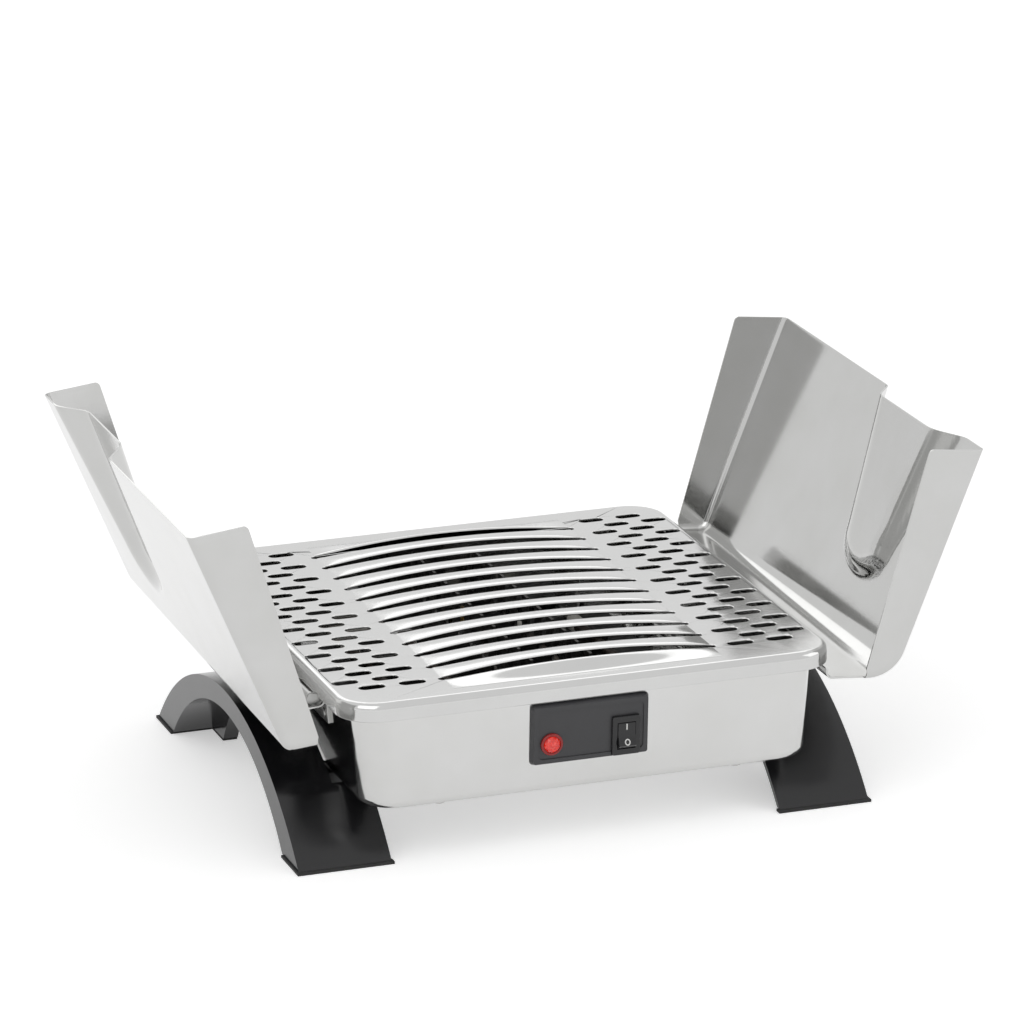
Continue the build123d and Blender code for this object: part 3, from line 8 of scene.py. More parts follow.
import bpy
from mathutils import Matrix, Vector


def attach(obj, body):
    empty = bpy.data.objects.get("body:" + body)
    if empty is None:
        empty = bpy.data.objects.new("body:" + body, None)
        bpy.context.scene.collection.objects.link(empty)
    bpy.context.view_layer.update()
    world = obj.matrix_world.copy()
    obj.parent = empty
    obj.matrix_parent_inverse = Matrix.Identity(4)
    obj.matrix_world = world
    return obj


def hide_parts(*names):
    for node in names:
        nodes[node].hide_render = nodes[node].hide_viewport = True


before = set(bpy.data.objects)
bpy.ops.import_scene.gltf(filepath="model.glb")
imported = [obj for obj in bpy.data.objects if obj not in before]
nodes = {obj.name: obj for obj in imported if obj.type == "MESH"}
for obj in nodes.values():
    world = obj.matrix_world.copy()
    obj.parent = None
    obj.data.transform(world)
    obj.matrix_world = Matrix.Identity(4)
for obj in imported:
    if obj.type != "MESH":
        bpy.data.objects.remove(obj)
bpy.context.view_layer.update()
scene = bpy.context.scene

# ---------------------------------------------------------------- sizes shared with the part's source
HALF_Y = 137.0
TOP_HEIGHT = 90.0
HINGE_X = 131.6
HINGE_Z = 76.5
CORNER = (163.0, 70.0)        # sharp corner of a cover's floor and panel, in X and Z
PANEL_TOP = (211.0, 187.0)    # panel's free edge
END_TOP = (180.5, 190.5)      # upper corner of an end wall
END_FOOT = (146.5, 77.1)      # lower end of an end wall's free edge
BEND_AT_SCOOP = 20.0          # floor bend at the end with the scoop
BEND_AT_PLAIN = 7.0
FOLD_RADIUS = 4.0
END_CORNER_RADIUS = 3.0
COVER_SHEET = 0.9
BARREL_RADIUS = 2.9
CURL_RADIUS = BARREL_RADIUS + COVER_SHEET
CURL_SHIFT = 2.0
CURL_LIP = 1.5
HINGE_Y = 66.0
BARREL_HALF = 9.5             # half length of a barrel
NOTCH_HALF = 12.6             # half length of the notch round a bracket
BARREL_FOOT = 3.0
EAR_NOTCH = 4.2               # reach of the slots for the ears, from the hinge axis
STRIP_END = 82.6              # end of the hinge strip on the plain side

SCOOP_DEPTH = 12.0
SCOOP_FLOOR_RUN = 150.0
SCOOP_NEAR = 9.0
SCOOP_FAR = 112.0
SCOOP_NEAR_DRIFT = 0.24
SCOOP_FAR_DRIFT = 0.375
SCOOP_WALL_RUN = 1.45
SCOOP_STRAIGHT = 74.0
SCOOP_LENGTH = 93.0
SCOOP_SLANT = 0.29            # drop of the free edge in the scoop, for each mm of depth
SCOOP_SLANT_RUN = 30.0        # the drop fades out over this distance
SCOOP_PAST_END = 6.0          # no scoop beyond its length and this
SCOOP_END_SHARE = 1.4
SCOOP_FLOOR_ROUND = 3.5       # round between the scoop's floor and walls
SCOOP_LIP_ROUND = 2.0         # and between its walls and the panel

SLOT_COUNT = 12
SLOT_FRONT_Y = -109.25
SLOT_PITCH = 214.5 / 11
SLOT_HALF_LENGTH = 74.5
SLOT_TIP_WIDTH = 4.5
SLOT_MID_WIDTH = 9.8
BAR_HALF_SPAN = 72.5
BAR_RISE = 4.6

DRAFT = radians(4.0)
ROCKER_PIVOT = (15.3, -134.675, 58.63)
ROCKER_TILT = radians(11.0)
ROCKER_CREST = 4.4


def mm(*values):
    """Millimetres to metres, as one number or as a vector."""
    if len(values) == 1:
        return values[0] / 1000
    return Vector([value / 1000 for value in values])


# ---------------------------------------------------------------- material nodes
def new_material(name):
    material = bpy.data.materials.new(name)
    material.use_nodes = True
    shader = material.node_tree.nodes["Principled BSDF"]
    return material, material.node_tree, shader


def object_coordinates(tree, stretch=(1, 1, 1)):
    """Coordinates fixed to the part, in metres times a stretch along each axis."""
    place = tree.nodes.new("ShaderNodeTexCoord")
    mapping = tree.nodes.new("ShaderNodeMapping")
    mapping.inputs["Scale"].default_value = stretch
    tree.links.new(place.outputs["Object"], mapping.inputs["Vector"])
    return mapping.outputs["Vector"]


def noise(tree, vector, scale, detail=4.0, rough=0.55):
    node = tree.nodes.new("ShaderNodeTexNoise")
    node.inputs["Scale"].default_value = scale
    node.inputs["Detail"].default_value = detail
    node.inputs["Roughness"].default_value = rough
    tree.links.new(vector, node.inputs["Vector"])
    return node.outputs["Fac"]


def ramp(tree, value, low, high, out_low, out_high):
    """Maps a value from one range to another, clamped."""
    node = tree.nodes.new("ShaderNodeMapRange")
    node.inputs["From Min"].default_value = low
    node.inputs["From Max"].default_value = high
    node.inputs["To Min"].default_value = out_low
    node.inputs["To Max"].default_value = out_high
    tree.links.new(value, node.inputs["Value"])
    return node.outputs["Result"]


def two_colours(tree, factor, first, second):
    node = tree.nodes.new("ShaderNodeMix")
    node.data_type = "RGBA"
    node.inputs[6].default_value = (*first, 1)
    node.inputs[7].default_value = (*second, 1)
    tree.links.new(factor, node.inputs[0])
    return node.outputs[2]


def add_bump(tree, shader, height, distance):
    node = tree.nodes.new("ShaderNodeBump")
    node.inputs["Strength"].default_value = 1.0
    node.inputs["Distance"].default_value = distance
    tree.links.new(height, node.inputs["Height"])
    tree.links.new(node.outputs["Normal"], shader.inputs["Normal"])


def combined(tree, first, second, share):
    """Sum of two heights, the second weighed by a share."""
    node = tree.nodes.new("ShaderNodeMath")
    node.operation = "MULTIPLY_ADD"
    node.inputs[1].default_value = share
    tree.links.new(second, node.inputs[0])
    tree.links.new(first, node.inputs[2])
    return node.outputs["Value"]


def math_node(tree, operation, first, second):
    """A node that joins two values, each of them a number or an output."""
    node = tree.nodes.new("ShaderNodeMath")
    node.operation = operation
    for socket, value in zip(node.inputs, (first, second)):
        if isinstance(value, (int, float)):
            socket.default_value = value
        else:
            tree.links.new(value, socket)
    return node.outputs["Value"]



def seen_rays(tree):
    """1 for the rays that show the background: the camera's, and those in metal and glass."""
    rays = tree.nodes.new("ShaderNodeLightPath")
    direct = math_node(tree, "MAXIMUM", rays.outputs["Is Camera Ray"], rays.outputs["Is Glossy Ray"])
    return math_node(tree, "MAXIMUM", direct, rays.outputs["Is Transmission Ray"])


def metal(name, colour, dull, rough, grain=(1, 1, 1), waves=0.0004, scratch=0.00002):
    """Sheet metal: cloudy roughness, a faint rolled grain, slow waves and handling marks."""
    material, tree, shader = new_material(name)
    plain = object_coordinates(tree)
    rolled = object_coordinates(tree, grain)
    cloud = noise(tree, plain, 28, 5, 0.6)
    streaks = noise(tree, rolled, 260, 3, 0.6)
    shader.inputs["Metallic"].default_value = 1.0
    tint = two_colours(tree, ramp(tree, cloud, 0.3, 0.7, 0, 1), colour, dull)
    tree.links.new(tint, shader.inputs["Base Color"])
    mixed = combined(tree, cloud, streaks, 0.5)
    tree.links.new(ramp(tree, mixed, 0.45, 1.05, rough[0], rough[1]), shader.inputs["Roughness"])
    slow = noise(tree, plain, 9, 1, 0.4)
    height = combined(tree, slow, streaks, scratch / waves)
    add_bump(tree, shader, height, waves)
    return material


def plastic(name, colour, worn, rough, pebble):
    """Moulded plastic: fine pebble, slight colour drift and handling shine."""
    material, tree, shader = new_material(name)
    plain = object_coordinates(tree)
    cloud = noise(tree, plain, 40, 4, 0.6)
    grain = noise(tree, plain, 900, 2, 0.5)
    tint = two_colours(tree, ramp(tree, cloud, 0.35, 0.7, 0, 1), colour, worn)
    tree.links.new(tint, shader.inputs["Base Color"])
    tree.links.new(ramp(tree, cloud, 0.3, 0.7, rough[0], rough[1]), shader.inputs["Roughness"])
    add_bump(tree, shader, grain, pebble)
    return material


def lamp_glass():
    material, tree, shader = new_material("lamp_red")
    plain = object_coordinates(tree)
    cloud = noise(tree, plain, 700, 2, 0.5)
    share = ramp(tree, cloud, 0.35, 0.65, 0, 1)
    tint = two_colours(tree, share, (0.55, 0.006, 0.004), (0.80, 0.03, 0.01))
    tree.links.new(tint, shader.inputs["Base Color"])
    tree.links.new(tint, shader.inputs["Emission Color"])
    tree.links.new(ramp(tree, cloud, 0.3, 0.7, 0.06, 0.12), shader.inputs["Roughness"])
    shader.inputs["Emission Strength"].default_value = 0.25
    shader.inputs["Transmission Weight"].default_value = 0.25
    shader.inputs["Coat Weight"].default_value = 0.6
    return material


# name: lighter colour, duller colour, roughness, stretch of the grain, waves and scratches in metres
STEEL = {
    "steel_polished": ((0.58, 0.58, 0.575), (0.55, 0.55, 0.545), (0.10, 0.16), (1, 14, 1), 0.00008, 0.000006),
    "steel_satin": ((0.60, 0.60, 0.595), (0.57, 0.57, 0.56), (0.10, 0.16), (0.06, 1, 1), 0.00010, 0.000010),
    "steel_cover": ((0.54, 0.54, 0.535), (0.51, 0.51, 0.50), (0.09, 0.14), (1, 0.05, 1), 0.00012, 0.000008),
    "zinc_steel": ((0.50, 0.50, 0.49), (0.42, 0.42, 0.41), (0.25, 0.40)),
    # combs, heater clips and the reflector tray are painted near black: painted shade of the warmer's dim
    # inside, in place of their own steel and aluminium tones
    "comb_steel": ((0.10, 0.098, 0.095), (0.07, 0.068, 0.065), (0.40, 0.55)),
    "tray_painted_shade": ((0.06, 0.06, 0.058), (0.04, 0.04, 0.04), (0.40, 0.55), (1, 0.1, 1)),
    "heater_sheath": ((0.08, 0.065, 0.055), (0.05, 0.04, 0.035), (0.40, 0.55)),
    "brass": ((0.72, 0.50, 0.20), (0.60, 0.40, 0.16), (0.22, 0.35)),
}
# name: colour, worn colour, roughness, height of the pebble in metres
PLASTIC = {
    "black_plastic": ((0.006, 0.006, 0.007), (0.007, 0.007, 0.008), (0.18, 0.21), 0.000001),
    "rubber": ((0.018, 0.018, 0.018), (0.028, 0.028, 0.028), (0.7, 0.85), 0.00003),
    "panel_plastic": ((0.036, 0.036, 0.039), (0.044, 0.044, 0.047), (0.34, 0.44), 0.000006),
    "switch_plastic": ((0.008, 0.008, 0.009), (0.012, 0.012, 0.013), (0.14, 0.22), 0.000002),
    "gland_plastic": ((0.014, 0.014, 0.014), (0.02, 0.02, 0.02), (0.4, 0.5), 0.00001),
    "ceramic": ((0.72, 0.70, 0.65), (0.64, 0.62, 0.58), (0.45, 0.6), 0.00001),
    "wire_jacket": ((0.20, 0.19, 0.17), (0.15, 0.14, 0.13), (0.45, 0.6), 0.00001),
    "print_white": ((0.74, 0.74, 0.72), (0.66, 0.66, 0.64), (0.4, 0.5), 0.000002),
    "lamp_rim": ((0.30, 0.008, 0.006), (0.38, 0.012, 0.008), (0.14, 0.22), 0.000004),
}
FINISH = {name: metal(name, *values) for name, values in STEEL.items()}
FINISH.update({name: plastic(name, *values) for name, values in PLASTIC.items()})
FINISH["lamp_red"] = lamp_glass()

NODE_FINISH = {
    "top_plate": "steel_polished", "base_pan": "steel_satin",
    "cover_right": "steel_cover", "cover_left": "steel_cover",
    "hinge_barrels_right": "zinc_steel", "hinge_barrels_left": "zinc_steel",
    "hinge_brackets_right": "zinc_steel", "hinge_brackets_left": "zinc_steel",
    "hinge_pins_right": "zinc_steel", "hinge_pins_left": "zinc_steel", "bracket_rivets": "zinc_steel",
    "lid_posts": "zinc_steel", "lid_screws": "zinc_steel", "foot_screws": "zinc_steel",
    "foot_nuts": "zinc_steel", "foot_right": "black_plastic", "foot_left": "black_plastic",
    "foot_pads": "rubber", "reflector_tray": "tray_painted_shade", "plate_comb_right": "comb_steel",
    "plate_comb_left": "comb_steel", "comb_rivets": "zinc_steel", "heater_right": "heater_sheath",
    "heater_left": "heater_sheath", "heater_insulators": "ceramic", "heater_clips": "comb_steel",
    "thermostat": "zinc_steel", "thermal_cutout": "ceramic", "switch_panel": "panel_plastic",
    "switch_body": "switch_plastic", "switch_tabs": "brass", "rocker": "switch_plastic",
    "indicator_body": "lamp_rim", "indicator_lens": "lamp_red", "indicator_nut": "zinc_steel",
    "cable_gland": "gland_plastic", "gland_nut": "gland_plastic", "terminal_block": "ceramic",
    "earth_stud": "brass", "wiring": "wire_jacket",
}


# ---------------------------------------------------------------- mesh tools
def set_finish(obj, name):
    obj.data.materials.clear()
    obj.data.materials.append(FINISH[name])


def soften(obj, width):
    """Rounds the hard edges a little, so that they catch the light."""
    weld = obj.modifiers.new("weld", "WELD")
    weld.merge_threshold = 0.000002
    bevel = obj.modifiers.new("bevel", "BEVEL")
    bevel.width = mm(width)
    bevel.segments = 2
    bevel.limit_method = "ANGLE"
    bevel.angle_limit = radians(35)
    bevel.use_clamp_overlap = True
    bevel.harden_normals = False
    normals = obj.modifiers.new("normals", "WEIGHTED_NORMAL")
    normals.keep_sharp = False
    normals.weight = 80


def build_object(name, points, faces, finish, smooth=True):
    mesh = bpy.data.meshes.new(name)
    mesh.from_pydata([mm(*point) for point in points], [], faces)
    mesh.validate()
    for polygon in mesh.polygons:
        polygon.use_smooth = smooth
    obj = bpy.data.objects.new(name, mesh)
    scene.collection.objects.link(obj)
    obj.data.materials.append(FINISH[finish])
    return obj


def spread(start, end, count):
    """Evenly spaced values from start up to, but without, end."""
    return [start + (end - start) * index / count for index in range(count)]


# ---------------------------------------------------------------- covers
def directions():
    """Unit directions of the cover's floor and of its panel, in X and Z."""
    run = CORNER[0] - HINGE_X
    rise = CORNER[1] - HINGE_Z
    angle = atan2(rise, run) + asin(CURL_RADIUS / hypot(run, rise))
    length = hypot(PANEL_TOP[0] - CORNER[0], PANEL_TOP[1] - CORNER[1])
    panel = ((PANEL_TOP[0] - CORNER[0]) / length, (PANEL_TOP[1] - CORNER[1]) / length)
    return (cos(angle), sin(angle)), panel


# fineness of the cover's grid
FLOOR_STEPS = 8
BEND_STEPS = 18
PANEL_STEPS = 60
WALL_STEPS = 12
FOLD_STEPS = 7
STRIP_STEPS = 9
CURL_STEPS = 8
COLUMN_STEP = 2.2             # distance between columns of the grid
TOP_ROWS = 4                  # rows over which the folds turn to the end walls' top edges
CORNER_SHARE = 0.94           # share of an end wall's points below its rounded corner


def section(radius):
    """Points, inward normals and distance below the free edge, from the cover's floor up the panel."""
    (fx, fz), (px, pz) = directions()
    turn = atan2(pz, px) - atan2(fz, fx)
    run = radius * tan(turn / 2)
    start = (CORNER[0] - fx * run, CORNER[1] - fz * run)
    end = (CORNER[0] + px * run, CORNER[1] + pz * run)
    foot = (END_FOOT[0], CORNER[1] + (END_FOOT[0] - CORNER[0]) * fz / fx)
    rows = []
    for share in spread(0, 1, FLOOR_STEPS):
        x = foot[0] + (start[0] - foot[0]) * share
        z = foot[1] + (start[1] - foot[1]) * share
        rows.append(((x, z), (-fz, fx), None))
    base_angle = atan2(fz, fx)
    centre = (start[0] - fz * radius, start[1] + fx * radius)
    for share in spread(0, 1, BEND_STEPS):
        angle = base_angle + turn * share
        normal = (-sin(angle), cos(angle))
        rows.append(((centre[0] - normal[0] * radius, centre[1] - normal[1] * radius), normal, None))
    for index in range(PANEL_STEPS + 1):
        share = index / PANEL_STEPS
        x = end[0] + (PANEL_TOP[0] - end[0]) * share
        z = end[1] + (PANEL_TOP[1] - end[1]) * share
        below = hypot(PANEL_TOP[0] - x, PANEL_TOP[1] - z)
        rows.append(((x, z), (-pz, px), below))
    return rows


def soft_min(a, b, k):
    """Smaller of two values, with the corner between them rounded."""
    h = max(k - abs(a - b), 0) / k
    return min(a, b) - h * h * k / 4


def scoop_depth(below, along):
    """Depth of the finger scoop at a distance below the free edge and along the cover."""
    if below is None or below > SCOOP_LENGTH + SCOOP_PAST_END:
        return 0.0
    depth = SCOOP_DEPTH * (1 - below / SCOOP_FLOOR_RUN)
    near = SCOOP_NEAR + SCOOP_NEAR_DRIFT * min(below, SCOOP_STRAIGHT)
    far = SCOOP_FAR - SCOOP_FAR_DRIFT * min(below, SCOOP_STRAIGHT)
    middle = (near + far) / 2
    half = (far - near) / 2
    reach = abs(along - middle)
    if below > SCOOP_STRAIGHT:
        share = (below - SCOOP_STRAIGHT) / (SCOOP_LENGTH - SCOOP_STRAIGHT)
        reach = half * hypot(reach / half, min(share, SCOOP_END_SHARE))
    wall = (half - reach) / SCOOP_WALL_RUN
    value = soft_min(depth, wall, SCOOP_FLOOR_ROUND)
    return -soft_min(-value, 0, SCOOP_LIP_ROUND) if value > -SCOOP_LIP_ROUND else 0.0


def end_boundary(share):
    """Point on an end wall's free edge, from its foot up to its top edge, with the corner rounded."""
    along = (END_TOP[0] - END_FOOT[0], END_TOP[1] - END_FOOT[1])
    length = hypot(*along)
    up = (along[0] / length, along[1] / length)
    over = (PANEL_TOP[0] - END_TOP[0], PANEL_TOP[1] - END_TOP[1])
    size = hypot(*over)
    over = (over[0] / size, over[1] / size)
    half_angle = (pi - (atan2(up[1], up[0]) - atan2(over[1], over[0]))) / 2
    cut = END_CORNER_RADIUS / tan(half_angle)
    if share <= CORNER_SHARE:
        reach = (length - cut) * share / CORNER_SHARE
        return END_FOOT[0] + up[0] * reach, END_FOOT[1] + up[1] * reach
    t = (share - CORNER_SHARE) / (1 - CORNER_SHARE)
    first = (END_TOP[0] - up[0] * cut, END_TOP[1] - up[1] * cut)
    last = (END_TOP[0] + over[0] * cut, END_TOP[1] + over[1] * cut)
    a = (1 - t) ** 2
    b = 2 * t * (1 - t)
    c = t * t
    return (a * first[0] + b * END_TOP[0] + c * last[0], a * first[1] + b * END_TOP[1] + c * last[1])


def cover_columns():
    """Places along a cover for the middle of the sheet, with lines at the edges of the hinge notches."""
    fixed = [-(HALF_Y - FOLD_RADIUS)]
    for side in (-1, 1):
        for reach in (-NOTCH_HALF, -BARREL_HALF, BARREL_HALF, NOTCH_HALF):
            fixed.append(side * HINGE_Y + reach)
    fixed += [STRIP_END, HALF_Y - FOLD_RADIUS]
    fixed.sort()
    places = []
    for start, end in zip(fixed, fixed[1:]):
        places += spread(start, end, max(1, round((end - start) / COLUMN_STEP)))
    return places + [fixed[-1]]


def unit(first, last):
    """Direction from one point to another, in X and Z."""
    run = (last[0] - first[0], last[1] - first[1])
    size = hypot(*run)
    return run[0] / size, run[1] / size


def sheet_point(ends, y):
    """Point, inward normal and distance below the free edge, on one row of the sheet at a place along it."""
    (a, normal, below_a), (b, _, below_b) = ends
    share = (y + HALF_Y) / (2 * HALF_Y)
    x = a[0] + (b[0] - a[0]) * share
    z = a[1] + (b[1] - a[1]) * share
    below = None if below_a is None else below_a + (below_b - below_a) * share
    return (x, z), normal, below


def fold_direction(normal, rows_left):
    """Direction of a fold: the sheet's normal, turned to the end wall's edge near the top."""
    left = rows_left / TOP_ROWS
    if left >= 1:
        return normal
    over = unit(PANEL_TOP, END_TOP)
    x = over[0] + (normal[0] - over[0]) * left
    z = over[1] + (normal[1] - over[1]) * left
    length = hypot(x, z)
    return x / length, z / length


def end_wall_row(ends, row, rows, end):
    """One row of an end wall and its fold, from the wall's free edge to the sheet."""
    edge_y = end * HALF_Y
    sheet_y = end * (HALF_Y - FOLD_RADIUS)
    (x, z), normal, _ = sheet_point(ends, edge_y)
    nx, nz = fold_direction(normal, rows - 1 - row)
    fold_point = (x + nx * FOLD_RADIUS, z + nz * FOLD_RADIUS)
    edge = end_boundary(row / (rows - 1))
    line = []
    for step in range(WALL_STEPS):
        t = step / WALL_STEPS
        wall_x = edge[0] + (fold_point[0] - edge[0]) * t
        wall_z = edge[1] + (fold_point[1] - edge[1]) * t
        line.append((wall_x, edge_y, wall_z))
    for step in range(FOLD_STEPS):
        angle = pi / 2 * (1 - step / FOLD_STEPS)
        lift = FOLD_RADIUS * (1 - cos(angle))
        line.append((x + nx * lift, sheet_y + end * FOLD_RADIUS * sin(angle), z + nz * lift))
    return line


def sheet_row(ends, columns):
    """One row of the sheet between the folds, sunk where the scoop is."""
    panel = directions()[1]
    line = []
    for y in columns:
        (x, z), normal, below = sheet_point(ends, y)
        drop = 0.0
        if below is not None:
            drop = SCOOP_SLANT * scoop_depth(0.0, -y) * max(1 - below / SCOOP_SLANT_RUN, 0)
            below += drop
        depth = scoop_depth(below, -y)
        line.append((x + normal[0] * depth - panel[0] * drop, y, z + normal[1] * depth - panel[1] * drop))
    return line


def add_hinge_edge(points, faces, columns):
    """The floor's strip from the end walls' foot inwards, with its curl and its notches."""
    fx, fz = directions()[0]
    far = (END_FOOT[0] - HINGE_X) / fx
    stations = []
    for step in range(1, STRIP_STEPS + 1):
        stations.append((far + (-CURL_SHIFT - far) * step / STRIP_STEPS, -CURL_RADIUS))
    for step in range(1, CURL_STEPS + 1):
        angle = pi / 2 * step / CURL_STEPS
        stations.append((-CURL_SHIFT - CURL_RADIUS * sin(angle), -CURL_RADIUS * cos(angle)))
    stations.append((-CURL_SHIFT - CURL_RADIUS, CURL_LIP))
    first_column = WALL_STEPS + FOLD_STEPS
    previous = [first_column + index for index in range(len(columns))]
    previous_along = far
    for along, up in stations:
        start = len(points)
        x = HINGE_X + fx * along - fz * up
        z = HINGE_Z + fz * along + fx * up
        points += [(x, y, z) for y in columns]
        current = [start + index for index in range(len(columns))]
        middle_along = (along + previous_along) / 2
        for index in range(len(columns) - 1):
            middle = (columns[index] + columns[index + 1]) / 2
            reach = abs(abs(middle) - HINGE_Y)
            in_ear_slot = BARREL_HALF < reach < NOTCH_HALF and middle_along < EAR_NOTCH
            in_notch = reach < NOTCH_HALF and middle_along < -BARREL_FOOT / 2
            if not (in_ear_slot or in_notch or middle > STRIP_END):
                faces.append((current[index], current[index + 1], previous[index + 1], previous[index]))
        previous = current
        previous_along = along


def cover_mesh():
    """The right cover's outer skin: end walls, folds and sheet as one grid, and the hinge edge."""
    section_rows = list(zip(section(BEND_AT_SCOOP), section(BEND_AT_PLAIN)))
    rows = len(section_rows)
    columns = cover_columns()
    points = []
    for row, ends in enumerate(section_rows):
        points += end_wall_row(ends, row, rows, -1)
        points += sheet_row(ends, columns)
        points += end_wall_row(ends, row, rows, 1)[::-1]
    width = len(points) // rows
    faces = []
    for row in range(rows - 1):
        for column in range(width - 1):
            a = row * width + column
            faces.append((a, a + 1, a + 1 + width, a + width))
    add_hinge_edge(points, faces, columns)
    used = sorted({index for face in faces for index in face})
    place = {index: number for number, index in enumerate(used)}
    return [points[index] for index in used], [tuple(place[index] for index in face) for face in faces]


def add_cover(side, points, faces):
    name = "cover_sheet_" + side
    if side == "left":
        points = [(-x, -y, z) for x, y, z in points]
    obj = build_object(name, points, faces, "steel_cover")
    solid = obj.modifiers.new("sheet", "SOLIDIFY")
    solid.thickness = mm(COVER_SHEET)
    solid.offset = -1
    bevel = obj.modifiers.new("edge", "BEVEL")
    bevel.width = mm(0.25)
    bevel.segments = 2
    bevel.limit_method = "ANGLE"
    bevel.angle_limit = radians(50)
    normals = obj.modifiers.new("normals", "WEIGHTED_NORMAL")
    normals.weight = 80
    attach(obj, "cover_" + side)
    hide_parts("cover_" + side)


cover_points, cover_faces = cover_mesh()
for side in ("right", "left"):
    add_cover(side, cover_points, cover_faces)


# ---------------------------------------------------------------- crowned bars between the plate slots
BAR_CROWN = 0.3               # how far a bar's middle stands over its edges
BAR_ROLL = 0.7                # how far its edges turn down
BAR_LIFT = 0.03               # skin over the solid plate
BAR_SKIN = 0.3                # thickness of the skin
BAR_OVERLAP = 0.06            # skin past the edge of a slot
BAR_END_GAP = 0.5
BAR_FADE = 12.0               # the crown fades out over this distance at the ends
BAR_LENGTHS = 72
BAR_ACROSS = 14
BAR_REACH = BAR_HALF_SPAN - BAR_END_GAP
SHOULDER_REACH = 17.0         # middle of the first and last slot to the foot of its shoulder


def half_slot(x):
    """Half width of a plate slot at a distance from its middle."""
    tip = SLOT_TIP_WIDTH / 2
    reach = SLOT_HALF_LENGTH - tip
    if abs(x) >= reach:
        return tip * max(1 - ((abs(x) - reach) / tip) ** 2, 0) ** 0.5
    sag = SLOT_MID_WIDTH / 2 - tip
    radius = (reach**2 + sag**2) / (2 * sag)
    return SLOT_MID_WIDTH / 2 - radius + (radius**2 - x**2) ** 0.5


def arch_height(x):
    """Height of the arched field over the flat."""
    radius = (BAR_HALF_SPAN**2 + BAR_RISE**2) / (2 * BAR_RISE)
    return BAR_RISE - radius + (radius**2 - x**2) ** 0.5


def smooth_step(share):
    return share * share * (3 - 2 * share)


def bar_station(step):
    """Place along the bars, closer together at the ends, and the share of the crown that is left there."""
    x = BAR_REACH * sin(pi / 2 * (2 * step / BAR_LENGTHS - 1))
    return x, min((BAR_REACH - abs(x)) / BAR_FADE, 1)


def bar_points(bar):
    middle = SLOT_FRONT_Y + (bar + 0.5) * SLOT_PITCH
    points = []
    for step in range(BAR_LENGTHS + 1):
        x, left = bar_station(step)
        half = SLOT_PITCH / 2 - half_slot(x) + BAR_OVERLAP
        for column in range(BAR_ACROSS + 1):
            share = sin(pi / 2 * (2 * column / BAR_ACROSS - 1))
            crown = BAR_CROWN * (1 - share**2) - BAR_ROLL * share**12
            height = arch_height(x) + BAR_LIFT + crown * smooth_step(left)
            points.append((x, middle + half * share, TOP_HEIGHT + height))
    return points


def shoulder_points(side):
    """The rise from the flat of the plate to the arch, before the first slot or behind the last one."""
    slot = SLOT_FRONT_Y if side < 0 else SLOT_FRONT_Y + (SLOT_COUNT - 1) * SLOT_PITCH
    foot = slot + side * SHOULDER_REACH
    points = []
    for step in range(BAR_LENGTHS + 1):
        x, left = bar_station(step)
        edge = slot + side * (half_slot(x) - BAR_OVERLAP)
        for column in range(BAR_ACROSS + 1):
            share = column / BAR_ACROSS if side < 0 else 1 - column / BAR_ACROSS
            height = arch_height(x) * smooth_step(share) - BAR_ROLL * share**24 * left
            points.append((x, foot + (edge - foot) * share, TOP_HEIGHT + BAR_LIFT + height))
    return points


def add_bars():
    """A crowned skin with rolled edges over each bar, and a shoulder up to the first and last slots."""
    strips = [bar_points(bar) for bar in range(SLOT_COUNT - 1)]
    strips += [shoulder_points(side) for side in (-1, 1)]
    points = []
    faces = []
    for strip in strips:
        start = len(points)
        points += strip
        for step in range(BAR_LENGTHS):
            for column in range(BAR_ACROSS):
                a = start + step * (BAR_ACROSS + 1) + column
                faces.append((a, a + BAR_ACROSS + 1, a + BAR_ACROSS + 2, a + 1))
    obj = build_object("crowned_bars", points, faces, "steel_polished")
    solid = obj.modifiers.new("sheet", "SOLIDIFY")
    solid.thickness = mm(BAR_SKIN)
    solid.offset = -1
    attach(obj, "base")


add_bars()


# ---------------------------------------------------------------- faceted lamp lens
LENS_PLACE = (-24.2, -136.642, 58.091)  # on the lamp's axis, at the back of its rim
# radius of each ring of corners and its height over that place
LENS_RINGS = ((4.45, 0.9), (4.3, 1.6), (3.3, 2.9), (1.9, 2.7), (0.8, 3.5))
LENS_FACETS = 10


def add_lens():
    """A lens cut in flat facets, seated in the lamp's rim."""
    out = (0, -cos(DRAFT), -sin(DRAFT))
    up = (0, -sin(DRAFT), cos(DRAFT))
    points = []
    faces = []
    for number, (radius, lift) in enumerate(LENS_RINGS):
        for index in range(LENS_FACETS):
            angle = 2 * pi * (index + number % 2 / 2) / LENS_FACETS
            a = radius * cos(angle)
            b = radius * sin(angle)
            x, y, z = LENS_PLACE
            points.append((x + a, y + up[1] * b + out[1] * lift, z + up[2] * b + out[2] * lift))
    for ring_index in range(len(LENS_RINGS) - 1):
        for index in range(LENS_FACETS):
            after = (index + 1) % LENS_FACETS
            low = ring_index * LENS_FACETS
            high = low + LENS_FACETS
            if ring_index % 2 == 0:
                faces.append((low + index, low + after, high + index))
                faces.append((low + after, high + after, high + index))
            else:
                faces.append((low + index, high + after, high + index))
                faces.append((low + index, low + after, high + after))
    last = (len(LENS_RINGS) - 1) * LENS_FACETS
    faces.append(tuple(range(last, last + LENS_FACETS)))
    faces.append(tuple(reversed(range(LENS_FACETS))))
    obj = build_object("lens_facets", points, faces, "lamp_red", smooth=False)
    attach(obj, "base")
    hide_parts("indicator_lens")


add_lens()

# ---------------------------------------------------------------- marks on the rocker
def rocker_place(up, out, across=0.0):
    """A point in the rocker's section plane, as a place in the part's frame."""
    x, y, z = ROCKER_PIVOT
    return (x + across, y - sin(DRAFT) * up - cos(DRAFT) * out, z + cos(DRAFT) * up - sin(DRAFT) * out)


